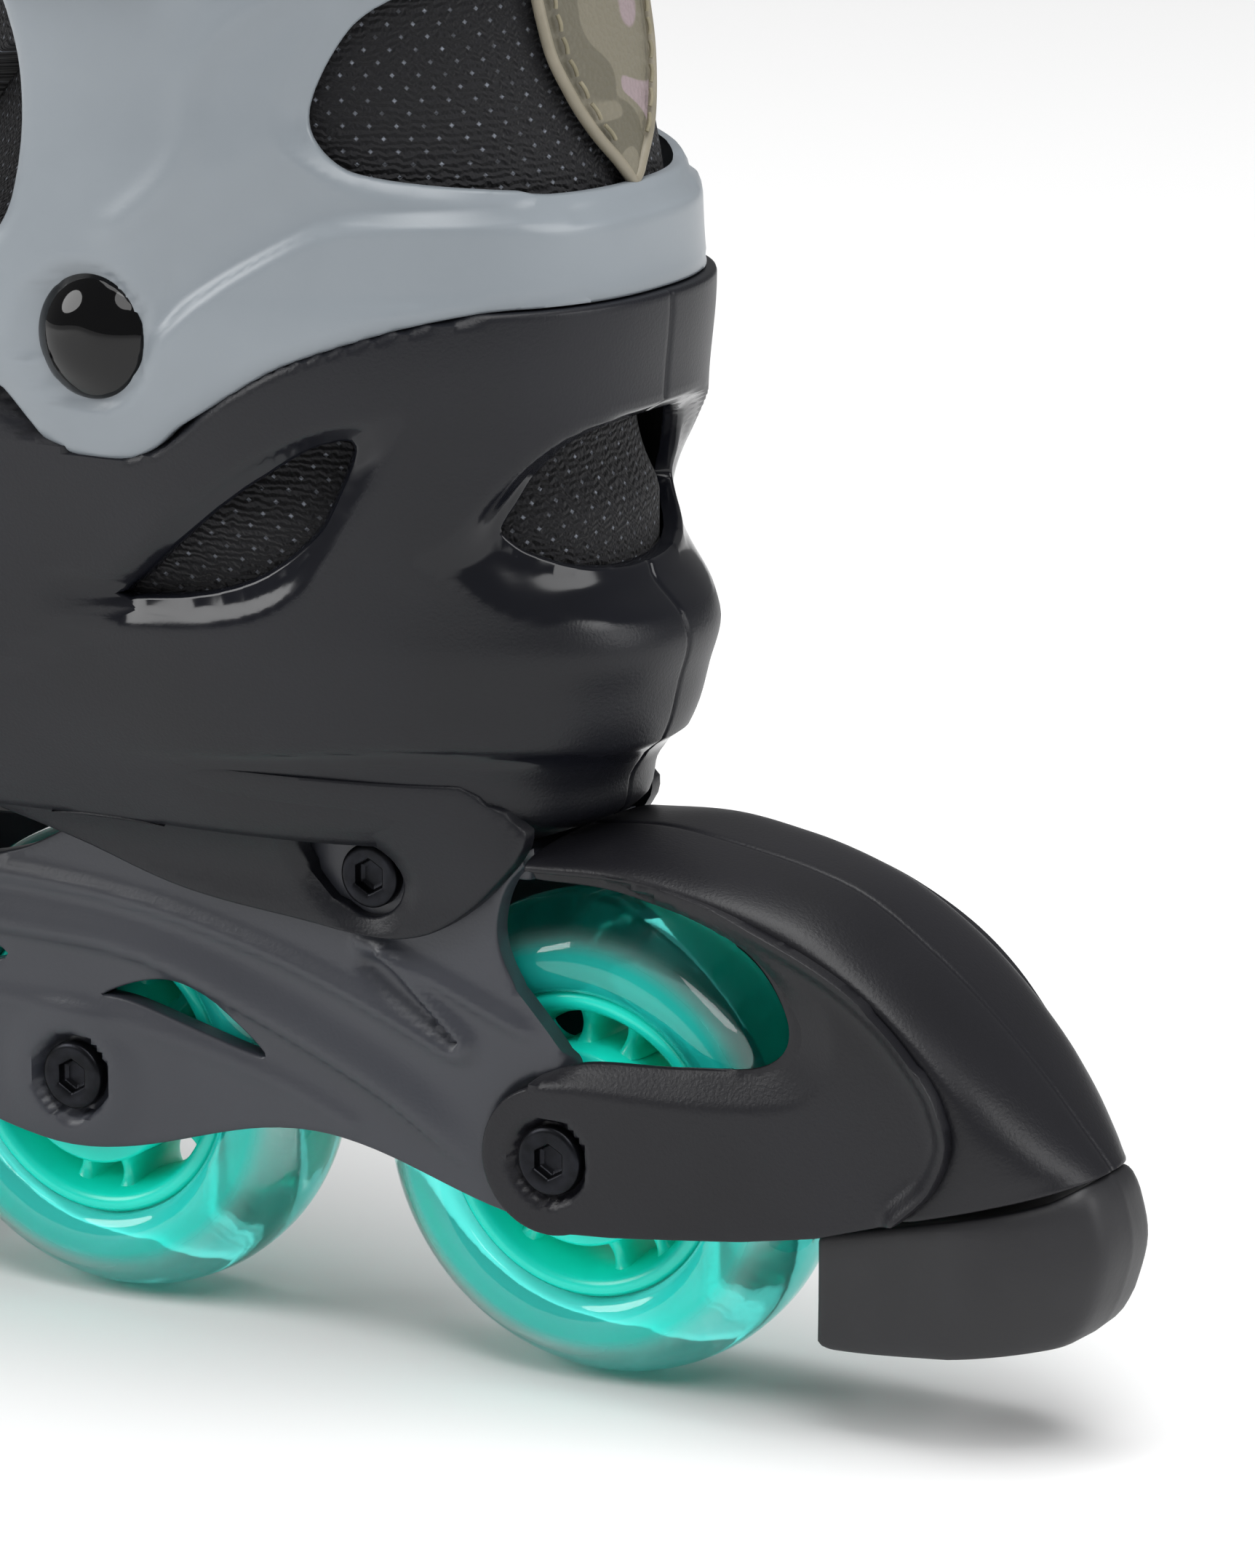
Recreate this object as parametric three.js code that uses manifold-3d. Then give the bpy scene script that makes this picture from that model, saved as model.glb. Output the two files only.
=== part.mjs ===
// An inline skate for the right foot, in millimetres.
// X runs forward to the toe, Y to the skater's left, Z up. While it is built, X = 0 is the rear axle
// and Z = 0 the floor; the finished group is moved so that X = 0 is the middle of its length.
import * as THREE from 'three';
import { mergeVertices } from 'three/addons/utils/BufferGeometryUtils.js';
import Module from 'manifold-3d';

const wasm = await Module();
wasm.setup();

// ---------------------------------------------------------------- driving dimensions
const clearance = 0.3; // gap between pieces that seat on each other

const wheelCount = 4;
const wheelPitch = 81.4; // from axle to axle
const wheelRadius = 35;
const tyreWidth = 24;
const hubRadius = 22; // where the tyre is cast on
const hubRimWall = 2.6;
const hubWidth = 23.5; // over the bearings
const hubRimWidth = 20;
const spokePairs = 5;
const spokeThickness = 2.2;
const spokeGap = 5; // between the two spokes of a pair
const spokeWidth = 15;

const bearingRadius = 11;
const bearingBore = 4.1;
const bearingWidth = 7;
const spacerWall = 1.5;
const axleRadius = 3.75;
const axleScrewRadius = 2.4;
const boltHeadRadius = 5;
const boltHeadHeight = 2;
const boltHeadChamfer = 0.6;
const socketRadius = 2.3; // a 4 mm key, over its corners
const socketDepth = 1.4;

const railThickness = 3.4;
const railGap = 25.6; // between the rails
const bossRadius = 10; // of the rail round an axle
const boltSeatDepth = 2; // of a bolt head's counterbore
const counterboreRadius = 6.2;
const scallopHeight = 8; // of the rail's lower edge between two axles
const railTop = 77.2;
const deckThickness = 4.2;
const railDip = 13.2; // of the rail's upper edge between the two mounts
const webThickness = 6;

const rearMountX = 29.5; // rear mount bolt; the front one mirrors it
const mountZ = 72;
const mountBlockLength = 15;
const mountBoltRadius = 3;

const shellWall = 3;
const collarStep = 4.3; // the shell's ears lie this far inside its outer face
const collarWall = 2.4;
const pivotX = 57.8;
const pivotZ = 150;
const earRadius = 24;
const lobeRadius = 15.5;
const cuffWall = 3.2;
const rivetRadius = 4;
const capRadius = 8.6;
const capHeight = 2.8;
const skirtWall = 3;

const linerThickness = 6;
const footbedThickness = 4;
const tongueHalfWidth = 20;

const brakeArmPlay = 0.6; // between a rail and the brake's arm beside it
const brakeArmThickness = 2.6;
const padHalfWidth = 15.6;

const strapWidth = 22;
const strapThickness = 1.8;
const strapGap = 2.4; // from the boot's outer face to the strap
const leverThickness = 3.4;
const pinRadius = 1.4;
const laceRadius = 1.4;

// ---------------------------------------------------------------- materials
function plastic(color, roughness) {
  return new THREE.MeshStandardMaterial({ color, roughness, metalness: 0 });
}

const steel = new THREE.MeshStandardMaterial({ color: 0x9a9c9e, roughness: 0.3, metalness: 1 });
const blackSteel = new THREE.MeshStandardMaterial({ color: 0x17181b, roughness: 0.35, metalness: 0.6 });
const framePlastic = plastic(0x2a2a2e, 0.5);
const shellPlastic = plastic(0x1f1f22, 0.45);
const brakePlastic = plastic(0x1d1e20, 0.4);
const cuffPlastic = plastic(0x8d979d, 0.35);
const rubber = plastic(0x1e1d22, 0.7);
const urethane = plastic(0x25c9b4, 0.15);
const hubPlastic = plastic(0x22d3bd, 0.3);
const mesh3d = plastic(0x121318, 0.9);
const tabLeather = plastic(0x87826f, 0.6);
const capPlastic = plastic(0x08090b, 0.1);
const buckle = plastic(0x1a1b1d, 0.35);
const webbing = plastic(0x151619, 0.8);

// ---------------------------------------------------------------- geometry helpers
const axleX = Array.from({ length: wheelCount }, (_, i) => i * wheelPitch);
const frontAxleX = axleX[wheelCount - 1];
const frameMiddleX = frontAxleX / 2;
const hubHalf = hubWidth / 2;
const railInner = railGap / 2;
const railOuter = railInner + railThickness;
const brakeInner = railOuter + brakeArmPlay;
const brakeOuter = brakeInner + brakeArmThickness;

// Makes a manifold solid from a closed geometry, facing out whatever way round it was written.
function solid(geometry) {
  const bare = geometry.index ? geometry.toNonIndexed() : geometry.clone();
  bare.deleteAttribute('normal');
  bare.deleteAttribute('uv');
  const merged = mergeVertices(bare, 1e-4);
  const position = merged.attributes.position.array;
  const index = merged.index.array;
  const triangles = [];
  let volume = 0;
  const a = new THREE.Vector3();
  const b = new THREE.Vector3();
  const c = new THREE.Vector3();
  for (let i = 0; i < index.length; i += 3) {
    const [p, q, r] = [index[i], index[i + 1], index[i + 2]];
    if (p === q || q === r || r === p) continue;
    triangles.push(p, q, r);
    a.fromArray(position, 3 * p);
    b.fromArray(position, 3 * q);
    c.fromArray(position, 3 * r);
    volume += a.dot(b.cross(c));
  }
  if (volume < 0) triangles.reverse();
  const triVerts = new Uint32Array(triangles);
  const vertProperties = new Float32Array(position);
  return new wasm.Manifold(new wasm.Mesh({ numProp: 3, vertProperties, triVerts }));
}

function named(name, body, material) {
  const { vertProperties, triVerts } = body.getMesh();
  const geometry = new THREE.BufferGeometry();
  geometry.setAttribute('position', new THREE.BufferAttribute(new Float32Array(vertProperties), 3));
  geometry.setIndex(new THREE.BufferAttribute(new Uint32Array(triVerts), 1));
  const mesh = new THREE.Mesh(geometry, material);
  mesh.name = name;
  return mesh;
}

function join(first, ...others) {
  return others.reduce((sum, other) => sum.add(other), first);
}

function cut(first, ...tools) {
  return tools.reduce((rest, tool) => rest.subtract(tool), first);
}

// A side view outline of [x, z] points, or a shape, made solid from y0 to y1.
function prism(outline, y0, y1) {
  const shape = Array.isArray(outline) ? new THREE.Shape(outline.map(([x, z]) => new THREE.Vector2(x, z))) : outline;
  const geometry = new THREE.ExtrudeGeometry(shape, { depth: y1 - y0, bevelEnabled: false, curveSegments: 6 });
  geometry.rotateX(Math.PI / 2);
  geometry.translate(0, y1, 0);
  return solid(geometry);
}

// A plan view outline of [x, y] points made solid from z0 to z1.
function slab(outline, z0, z1) {
  const shape = new THREE.Shape(outline.map(([x, y]) => new THREE.Vector2(x, y)));
  const geometry = new THREE.ExtrudeGeometry(shape, { depth: z1 - z0, bevelEnabled: false });
  geometry.translate(0, 0, z0);
  return solid(geometry);
}

function box(x0, x1, y0, y1, z0, z1) {
  const geometry = new THREE.BoxGeometry(x1 - x0, y1 - y0, z1 - z0);
  geometry.translate((x0 + x1) / 2, (y0 + y1) / 2, (z0 + z1) / 2);
  return solid(geometry);
}

// Turns a profile of [radius, y] points round an axis parallel to Y through (x, z).
function turned(profile, x, z, segments = 12) {
  const points = profile.map(([r, y]) => new THREE.Vector2(r, y));
  const geometry = new THREE.LatheGeometry(points, segments);
  geometry.translate(x, 0, z);
  return solid(geometry);
}

function rod(radius, x, z, y0, y1, segments = 12) {
  return turned([[0, y0], [radius, y0], [radius, y1], [0, y1]], x, z, segments);
}

function ringProfile(inner, outer, y0, y1) {
  return [[inner, y0], [outer, y0], [outer, y1], [inner, y1], [inner, y0]];
}

function arc(cx, cz, radius, fromDegrees, toDegrees, steps) {
  return Array.from({ length: steps + 1 }, (_, i) => {
    const angle = THREE.MathUtils.degToRad(fromDegrees + ((toDegrees - fromDegrees) * i) / steps);
    return [cx + radius * Math.cos(angle), cz + radius * Math.sin(angle)];
  });
}

function spline(points, divisions) {
  const curve = new THREE.SplineCurve(points.map(([x, z]) => new THREE.Vector2(x, z)));
  return curve.getPoints(divisions).map((p) => [p.x, p.y]);
}

// A smooth function through [position, value] knots that never overshoots them.
function through(knots) {
  const slope = knots.slice(1).map(([x, v], i) => (v - knots[i][1]) / (x - knots[i][0]));
  const tangent = knots.map((_, i) => {
    if (i === 0) return slope[0];
    if (i === knots.length - 1) return slope[i - 1];
    return slope[i - 1] * slope[i] <= 0 ? 0 : (2 * slope[i - 1] * slope[i]) / (slope[i - 1] + slope[i]);
  });
  return (x) => {
    if (x <= knots[0][0]) return knots[0][1];
    const i = knots.findIndex(([end]) => end > x);
    if (i < 0) return knots[knots.length - 1][1];
    const [x0, v0] = knots[i - 1];
    const [x1, v1] = knots[i];
    const h = x1 - x0;
    const t = (x - x0) / h;
    const rise = (1 + 2 * t) * (1 - t) ** 2 * v0 + t * t * (3 - 2 * t) * v1;
    return rise + h * t * (1 - t) ** 2 * tangent[i - 1] - h * t * t * (1 - t) * tangent[i];
  };
}

// ---------------------------------------------------------------- the boot's outer form
// At each height the boot is a closed curve: a blunt half ellipse round the heel, and a longer one
// to the front, which widens from the ankle to the ball of the foot.
const heelX = through([[77.5, 8], [82, -1.5], [87, -4], [91, -6.7], [96, -8.9], [101, -10.1],
  [107, -11.6], [112, -10], [117, -8.8], [140, -7.7], [155, -8.7], [158, -6.8], [170, -6],
  [185, -3], [200, 0], [222, 3], [252, 3]]);
const frontX = through([[77.5, 262], [82, 267], [90, 270], [100, 270], [108, 266], [114, 258],
  [119, 245], [124, 230], [130, 213], [138, 194], [146, 174], [154, 155], [162, 138], [170, 123],
  [180, 111], [190, 105], [200, 101], [222, 99], [252, 104]]);
const ankleHalf = through([[77.5, 26], [82, 29], [88, 32], [96, 35], [107, 37.5], [118, 39.5],
  [132, 42.5], [150, 45.3], [160, 44.8], [170, 44], [185, 43], [200, 43], [222, 44], [252, 46]]);
const ballHalf = through([[77.5, 36], [82, 42], [90, 47], [100, 48.5], [108, 47.5], [114, 46],
  [124, 43.5], [138, 43], [154, 45.2], [170, 44], [252, 46]]);
const middleX = through([[155, pivotX], [200, 50], [252, 49]]);
const heelPower = 2.4;
const toePower = 2.5;
const toeShift = 6; // of the toe towards the inner side
const soleZ = 77.5;
const liftFrom = 100; // above this height a smaller form also sinks, so that walls keep their thickness
const liftTo = 115;
const sinkShare = 0.7;

function formAt(z, inset) {
  const height = z + inset * sinkShare * THREE.MathUtils.smoothstep(z, liftFrom, liftTo);
  return {
    heel: heelX(height) + inset,
    middle: middleX(height),
    front: frontX(height) - inset,
    half: ankleHalf(height) - inset,
    ball: ballHalf(height) - inset,
  };
}

// One closed ring of the form, from the heel along the left side to the toe and back.
function ring(z, inset, steps) {
  const { heel, middle, front, half, ball } = formAt(z, inset);
  const left = [];
  for (let i = 0; i <= steps; i += 1) {
    const angle = (i / steps) * (Math.PI / 2);
    const x = middle - (middle - heel) * Math.cos(angle) ** (2 / heelPower);
    left.push([x, half * Math.sin(angle) ** (2 / heelPower), 0]);
  }
  for (let i = 1; i <= steps; i += 1) {
    const angle = (i / steps) * (Math.PI / 2);
    const t = Math.sin(angle) ** (2 / toePower);
    const width = THREE.MathUtils.lerp(half, ball, THREE.MathUtils.smoothstep(t, 0, 0.6));
    left.push([middle + (front - middle) * t, width * Math.max(0, Math.cos(angle)) ** (2 / toePower), t]);
  }
  const right = left.slice(1, -1).reverse().map(([x, y, t]) => [x, -y, t]);
  return [...left, ...right].map(([x, y, t]) => new THREE.Vector3(x, y + toeShift * t * t * low(z), z));
}

// The toe's sideways shift fades out towards the ankle.
function low(z) {
  return 1 - THREE.MathUtils.smoothstep(z, 100, 160);
}

// The form made solid between two heights, with a ring at each of the given levels between them.
function form(inset, z0, z1, levels, steps = 7) {
  const heights = [z0, ...levels.filter((z) => z > z0 + 1 && z < z1 - 1), z1];
  const rings = heights.map((z) => ring(z, typeof inset === 'function' ? inset(z) : inset, steps));
  const count = rings[0].length;
  const points = rings.flat();
  const index = [];
  for (let i = 0; i < rings.length - 1; i += 1) {
    for (let j = 0; j < count; j += 1) {
      const a = i * count + j;
      const b = i * count + ((j + 1) % count);
      index.push(a, b, b + count, a, b + count, a + count);
    }
  }
  for (const [first, flip] of [[0, true], [points.length - count, false]]) {
    for (let j = 1; j < count - 1; j += 1) {
      index.push(...(flip ? [first, first + j + 1, first + j] : [first, first + j, first + j + 1]));
    }
  }
  const geometry = new THREE.BufferGeometry().setFromPoints(points);
  geometry.setIndex(index);
  return solid(geometry);
}

const shellLevels = [82, 90, 99, 107, 114, 120, 127, 138, 148, 162];
const cuffLevels = [138, 148, 157, 162, 185, 200, 222];

// ---------------------------------------------------------------- wheels
const tyreSegments = 18;
const bearingSegments = 12;

function tyre(x) {
  const half = tyreWidth / 2;
  const seat = hubRadius + clearance;
  const depth = wheelRadius - seat;
  const profile = [
    [seat, -half * 0.88], [seat + depth * 0.3, -half], [seat + depth * 0.62, -half * 0.9],
    [seat + depth * 0.9, -half * 0.55], [wheelRadius, -half * 0.17],
  ];
  const mirrored = profile.slice().reverse().map(([r, y]) => [r, -y]);
  return turned([...profile, ...mirrored, profile[0]], x, wheelRadius, tyreSegments);
}

function hub(x) {
  const half = hubRimWidth / 2;
  const coreBore = bearingRadius / Math.cos(Math.PI / bearingSegments) + clearance / 2;
  const coreRadius = coreBore + 2.6;
  const ridge = hubHalf - bearingWidth - clearance;
  const ridgeRadius = coreBore - 1.6;
  const rim = turned(ringProfile(hubRadius - hubRimWall, hubRadius, -half, half), x, wheelRadius, tyreSegments);
  const core = turned([
    [coreBore, -hubHalf], [coreRadius, -hubHalf], [coreRadius, hubHalf], [coreBore, hubHalf],
    [coreBore, ridge], [ridgeRadius, ridge], [ridgeRadius, -ridge], [coreBore, -ridge], [coreBore, -hubHalf],
  ], x, wheelRadius, bearingSegments);
  let body = join(rim, core);
  const reach = hubRadius - hubRimWall / 2;
  const start = coreRadius - 1.2;
  const offset = (spokeGap + spokeThickness) / 2;
  for (let pair = 0; pair < spokePairs; pair += 1) {
    for (const side of [-offset, offset]) {
      const plate = new THREE.BoxGeometry(reach - start, spokeWidth, spokeThickness);
      plate.translate((reach + start) / 2, 0, side);
      plate.rotateY((pair * 2 * Math.PI) / spokePairs);
      plate.translate(x, 0, wheelRadius);
      body = body.add(solid(plate));
    }
  }
  return body;
}

function bearing(x, side) {
  const inner = side * (hubHalf - bearingWidth);
  const [y0, y1] = [inner, side * hubHalf].sort((p, q) => p - q);
  return turned(ringProfile(bearingBore, bearingRadius, y0, y1), x, wheelRadius, bearingSegments);
}

function spacer(x) {
  const half = hubHalf - bearingWidth - clearance;
  return turned(ringProfile(bearingBore, bearingBore + spacerWall, -half, half), x, wheelRadius);
}

function socket(x, z, y0, y1) {
  return rod(socketRadius, x, z, y0, y1, 6);
}

// Where a bolt head's underside lies: on the rail, or at the rear axle on the brake's arm.
const railSeat = railOuter - boltSeatDepth;
const armSeat = brakeOuter - boltSeatDepth - 0.3;

function seatAt(x) {
  return (x === 0 ? armSeat : railSeat) + clearance;
}

// The head points to +Y. Its bore takes the screw that comes from the other side.
function axleBolt(x) {
  const seat = seatAt(x);
  const top = seat + boltHeadHeight;
  const end = -railInner + 2;
  const rim = boltHeadRadius - boltHeadChamfer;
  const body = turned([
    [0, end], [axleRadius, end], [axleRadius, seat], [boltHeadRadius, seat],
    [boltHeadRadius, top - boltHeadChamfer], [rim, top], [0, top],
  ], x, wheelRadius);
  const bore = rod(axleScrewRadius + clearance, x, wheelRadius, end - 1, 4, 12);
  return cut(body, bore, socket(x, wheelRadius, top - socketDepth, top + 1));
}

function axleScrew(x) {
  const seat = seatAt(x);
  const top = seat + boltHeadHeight;
  const rim = boltHeadRadius - boltHeadChamfer;
  const body = turned([
    [0, -top], [rim, -top], [boltHeadRadius, boltHeadChamfer - top], [boltHeadRadius, -seat],
    [axleScrewRadius, -seat], [axleScrewRadius, 3], [0, 3],
  ], x, wheelRadius, 12);
  return cut(body, socket(x, wheelRadius, -top - 1, socketDepth - top));
}

// ---------------------------------------------------------------- frame
function railOutline() {
  const lower = [];
  const stepsPerPitch = 8;
  const steps = stepsPerPitch * (wheelCount - 1);
  for (let i = steps - 1; i > 0; i -= 1) {
    const x = (frontAxleX * i) / steps;
    const wave = 1 - Math.cos((2 * Math.PI * x) / wheelPitch);
    lower.push([x, wheelRadius - bossRadius + (scallopHeight * wave) / 2]);
  }
  const rearEdge = spline([[-4.5, 44], [0, 50.5], [5, 56], [8.6, 60], [10.5, 66], [9, 72.5], [5, railTop]], 10);
  const frontEdge = spline([[frontAxleX + 20, railTop], [frontAxleX + 19, 66], [frontAxleX + 12, 52],
    [frontAxleX + 10, 42]], 6);
  const dipStart = 72;
  const dipBottom = railTop - railDip;
  const dip = [[dipStart, railTop], [80, 72.5], [90, 67.5], [104, 64.8], [frameMiddleX, dipBottom]];
  const dipFront = dip.slice(0, -1).reverse().map(([x, z]) => [2 * frameMiddleX - x, z]);
  return [
    ...lower,
    ...arc(0, wheelRadius, bossRadius, 270, 120, 6),
    ...rearEdge,
    ...spline([...dip, ...dipFront], 16),
    ...frontEdge,
    ...arc(frontAxleX, wheelRadius, bossRadius, 20, -90, 5),
  ];
}

// Openings in a rail beside the two inner wheels, mirrored from the rear to the front half.
function railWindows() {
  const behind = [[76.5, 48], [67, 51.7], [58, 50], [49, 44], [50, 42.2], [70, 47]];
  const ahead = [[91.8, 51.6], [98, 54.6], [107, 55.6], [117, 53], [108, 50.2], [98, 49.6]];
  const mirror = ([x, z]) => [2 * frameMiddleX - x, z];
  return [behind, ahead, behind.map(mirror), ahead.map(mirror)];
}

function frame() {
  const rail = prism(railOutline(), railInner, railOuter);
  const windows = railWindows().map((outline) => prism(outline, railInner - 1, railOuter + 1));
  let left = cut(rail, ...windows);
  for (const x of axleX) {
    const boss = rod(bossRadius - 2, x, wheelRadius, hubHalf + clearance, railInner + 1);
    left = left.add(boss);
    left = cut(left, rod(axleRadius + clearance, x, wheelRadius, hubHalf - 1, railOuter + 1));
    if (x !== 0) left = cut(left, rod(counterboreRadius, x, wheelRadius, railSeat, railOuter + 1));
  }
  for (const x of mountXs) left = cut(left, rod(mountBoltRadius + clearance, x, mountZ, railInner - 1, railOuter + 1, 12));
  const armPocket = join(
    rod(bossRadius + 1.3, 0, wheelRadius, railSeat, railOuter + 1, 20),
    box(-20, 0, railSeat, railOuter + 1, 15, 45),
  );
  left = cut(left, armPocket);
  const right = left.mirror([0, 1, 0]);
  const across = railInner + 0.5;
  const webs = [];
  for (let i = 0; i < wheelCount - 1; i += 1) {
    const x = (i + 0.5) * wheelPitch;
    const low = i === 1 ? 52 : 62;
    const high = i === 1 ? railTop - railDip - 1 : 74;
    webs.push(box(x - webThickness / 2, x + webThickness / 2, -across, across, low, high));
  }
  const decks = [[6, 20.5], [44, 72]];
  for (const [x0, x1] of decks) {
    const z0 = railTop - deckThickness;
    webs.push(box(x0, x1, -across, across, z0, railTop));
    webs.push(box(2 * frameMiddleX - x1, 2 * frameMiddleX - x0, -across, across, z0, railTop));
  }
  return join(left, right, ...webs);
}

const mountXs = [rearMountX, 2 * frameMiddleX - rearMountX];

function mountBolt(x) {
  const seat = railOuter + clearance;
  const top = seat + boltHeadHeight;
  const body = turned([
    [0, -railInner], [mountBoltRadius, -railInner], [mountBoltRadius, seat], [boltHeadRadius - 0.4, seat],
    [boltHeadRadius - 0.4, top - boltHeadChamfer], [boltHeadRadius - 0.4 - boltHeadChamfer, top], [0, top],
  ], x, mountZ, 12);
  return cut(body, socket(x, mountZ, top - socketDepth, top + 1));
}

// A flanged nut on the outer side, over the bolt's end.
function mountNut(x) {
  const seat = railOuter + clearance;
  const flange = boltHeadRadius - 0.4;
  return cut(
    turned([
      [0, -seat - 3], [3.6, -seat - 3], [3.6, -seat - 1], [flange, -seat - 1], [flange, -seat],
      [2.8, -seat], [2.8, -railInner - clearance], [0, -railInner - clearance],
    ], x, mountZ, 12),
    socket(x, mountZ, -seat - 4, -seat - 1.6),
  );
}

// ---------------------------------------------------------------- brake
const splitLine = [[-77.6, 40.6], [-72, 37.6], [-60, 34.7], [-41.5, 30.3]];

function brakeHousing() {
  const roof = [[-41.5, 30.3], [-30, 28.2], [-10, 25.8]];
  const windowEdge = spline([[3, 46.3], [-5.5, 49.3], [-20, 50.5], [-33, 52.6], [-37, 58], [-33, 66],
    [-25, 71], [-10, 74.8], [3.4, 75]], 16);
  const crown = spline([[3.4, 79.2], [-5, 80.4], [-22, 78.6], [-40.6, 73.6], [-51.9, 66.1], [-63.2, 56.3],
    [-71, 47.8], [-77.6, 40.6]], 14);
  const outline = [
    ...splitLine.slice(1, -1), ...roof,
    ...arc(0, wheelRadius, bossRadius + 0.3, 250, 435, 10),
    ...windowEdge, ...crown,
  ];
  const plan = [[14, brakeOuter], [-34, brakeOuter], [-52, brakeOuter - 1.8], [-66, brakeOuter - 5], [-74, 9], [-77.6, 3]];
  const planRight = plan.slice().reverse().map(([x, y]) => [x, -y]);
  const outer = prism(outline, -brakeOuter, brakeOuter).intersect(slab([...plan, ...planRight], 0, 100));
  const wheelSpace = rod(wheelRadius + 3.2, 0, wheelRadius, -brakeInner, brakeInner, 32);
  const front = box(-18, 20, -brakeInner, brakeInner, 0, 73);
  const hollowOutline = [[-30, 60], [-30, 70], [-40.6, 68.5], [-51.9, 60.8], [-62, 52], [-68, 45], [-36, 42]];
  const hollow = prism(hollowOutline, -12, 12);
  const boss = (side) => {
    const [y0, y1] = [side * (railSeat + clearance), side * (brakeInner + 0.5)].sort((p, q) => p - q);
    return rod(bossRadius - 0.5, 0, wheelRadius, y0, y1, 16);
  };
  const body = join(cut(outer, wheelSpace, front, hollow), boss(1), boss(-1));
  return cut(
    body,
    rod(axleRadius + clearance, 0, wheelRadius, -30, 30),
    rod(counterboreRadius, 0, wheelRadius, armSeat, 30),
    rod(counterboreRadius, 0, wheelRadius, -30, -armSeat),
    screwHole(2.3, 20, 46),
  );
}

const brakeScrewX = -56;
const padHeadZ = 20;

function screwHole(radius, z0, z1) {
  const geometry = new THREE.CylinderGeometry(radius, radius, z1 - z0, 12);
  geometry.rotateX(Math.PI / 2);
  geometry.translate(brakeScrewX, 0, (z0 + z1) / 2);
  return solid(geometry);
}

function brakePad() {
  const drop = clearance + 0.1;
  const top = splitLine.map(([x, z]) => [x, z - drop]);
  const outline = [...top, [-40.4, 29.6], [-39.8, 17.5], [-41, 13.2], [-60, 14.6], [-75, 16.8], [-79.6, 21.5],
    [-80.9, 27], [-79.8, 33.4]];
  const plan = [[-38, padHalfWidth], [-62, padHalfWidth], [-72, 13.4], [-78, 8.6], [-81, 3]];
  const planRight = plan.slice().reverse().map(([x, y]) => [x, -y]);
  const block = prism(outline, -padHalfWidth, padHalfWidth).intersect(slab([...plan, ...planRight], 0, 100));
  return cut(block, screwHole(2.3 + clearance, 0, 60), screwHole(5, 0, padHeadZ));
}

function brakeScrew() {
  const head = screwHole(4.4, padHeadZ - 3.4, padHeadZ - clearance);
  return join(head, screwHole(1.9, padHeadZ - 1, 44));
}

// ---------------------------------------------------------------- boot shell
function wallAt(z) {
  return THREE.MathUtils.lerp(shellWall, collarStep + collarWall, THREE.MathUtils.smoothstep(z, 118, 138));
}

// Side view of all that lies above the shell's rim: it dips from the ears to the lace opening.
function aboveRim() {
  return [[-40, 155], [34, 155], ...arc(pivotX, pivotZ, earRadius, 168, 12, 8), [86, 152], [110, 146],
    [140, 140.5], [170, 134.5], [196, 130], [212, 126.5], [222, 126], [222, 260], [-40, 260]];
}

// Side view of the zone in which the cuff lies on the shell and sweeps over it.
function cuffZone() {
  const edge = [[-40, 154.6], [5, 153.9], [12.4, 153], [20.6, 150.6], [29.3, 147.2], [38.3, 141.6], [44.5, 137]];
  return [...edge, ...arc(pivotX, pivotZ, lobeRadius + 1, 225, 290, 5), [72, 137.6], [92, 139], [104, 141],
    [104, 260], [-40, 260]];
}

function sideVent() {
  return [[56, 113], [50, 114.2], [40, 116.5], [30, 122], [20, 132], [12.5, 141.5], [18, 142], [28, 138.5],
    [40, 130], [50, 120.5]];
}

function toeVent() {
  return [[200, 100], [214, 99], [228, 103], [236, 110], [222, 108.5], [208, 105]];
}

const heelVentHalf = 27;

function skirts() {
  const inner = railOuter + clearance;
  const top = soleZ + shellWall - 0.1;
  const rear = [[6, 79], [9, 74.5], [13.5, 70], [20, 65.6], [28, 64], [40, 65], [60, 67.2], [79, 72.6],
    [88, 75.6], [94, 77.4], [94, top], [5, top]];
  const front = rear.map(([x, z]) => [2 * frameMiddleX - x, z]);
  const pieces = [];
  for (const outline of [rear, front]) {
    pieces.push(prism(outline, inner, inner + skirtWall), prism(outline, -inner - skirtWall, -inner));
  }
  return pieces;
}

// The bolt head is reached through a hole that narrows towards the middle of the skate.
function boltAccess(x) {
  const toMiddle = Math.sign(frameMiddleX - x);
  const round = arc(0, 0, 6.4, 90, 300, 7);
  const point = arc(7, 3, 3.2, -40, 90, 4);
  const outline = [...round, ...point].map(([dx, dz]) => [x + toMiddle * dx, mountZ + dz]);
  return prism(outline, -40, 40);
}

function shell() {
  const outer = form(0, soleZ, 178, shellLevels);
  const shrunk = form(collarStep, 120, 179, shellLevels);
  const zone = prism(cuffZone(), -60, 60);
  const collarCut = cut(zone, shrunk);
  const cavity = form(wallAt, soleZ + shellWall, 180, shellLevels, 6);
  const rim = prism(aboveRim(), -70, 70);
  const vents = [prism(sideVent(), -60, 60), prism(toeVent(), -60, 60)];
  let body = cut(outer, collarCut, cavity, rim, ...vents);
  body = cut(body, box(-20, 8, -heelVentHalf, heelVentHalf, 118, 143.5));
  const blocks = mountXs.map((x) => box(x - mountBlockLength / 2, x + mountBlockLength / 2,
    clearance - railInner, railInner - clearance, 66, soleZ + 1));
  body = join(body, ...skirts(), ...blocks);
  const bores = mountXs.map((x) => rod(mountBoltRadius + clearance, x, mountZ, -14, 14, 12));
  const pivots = rod(rivetRadius + clearance, pivotX, pivotZ, -60, 60);
  const access = mountXs.map((x) => cut(boltAccess(x), box(0, 300, -14, 14, 0, 100)));
  return cut(body, pivots, screwBore(strapScrews.instep), ...bores, ...access);
}

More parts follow.
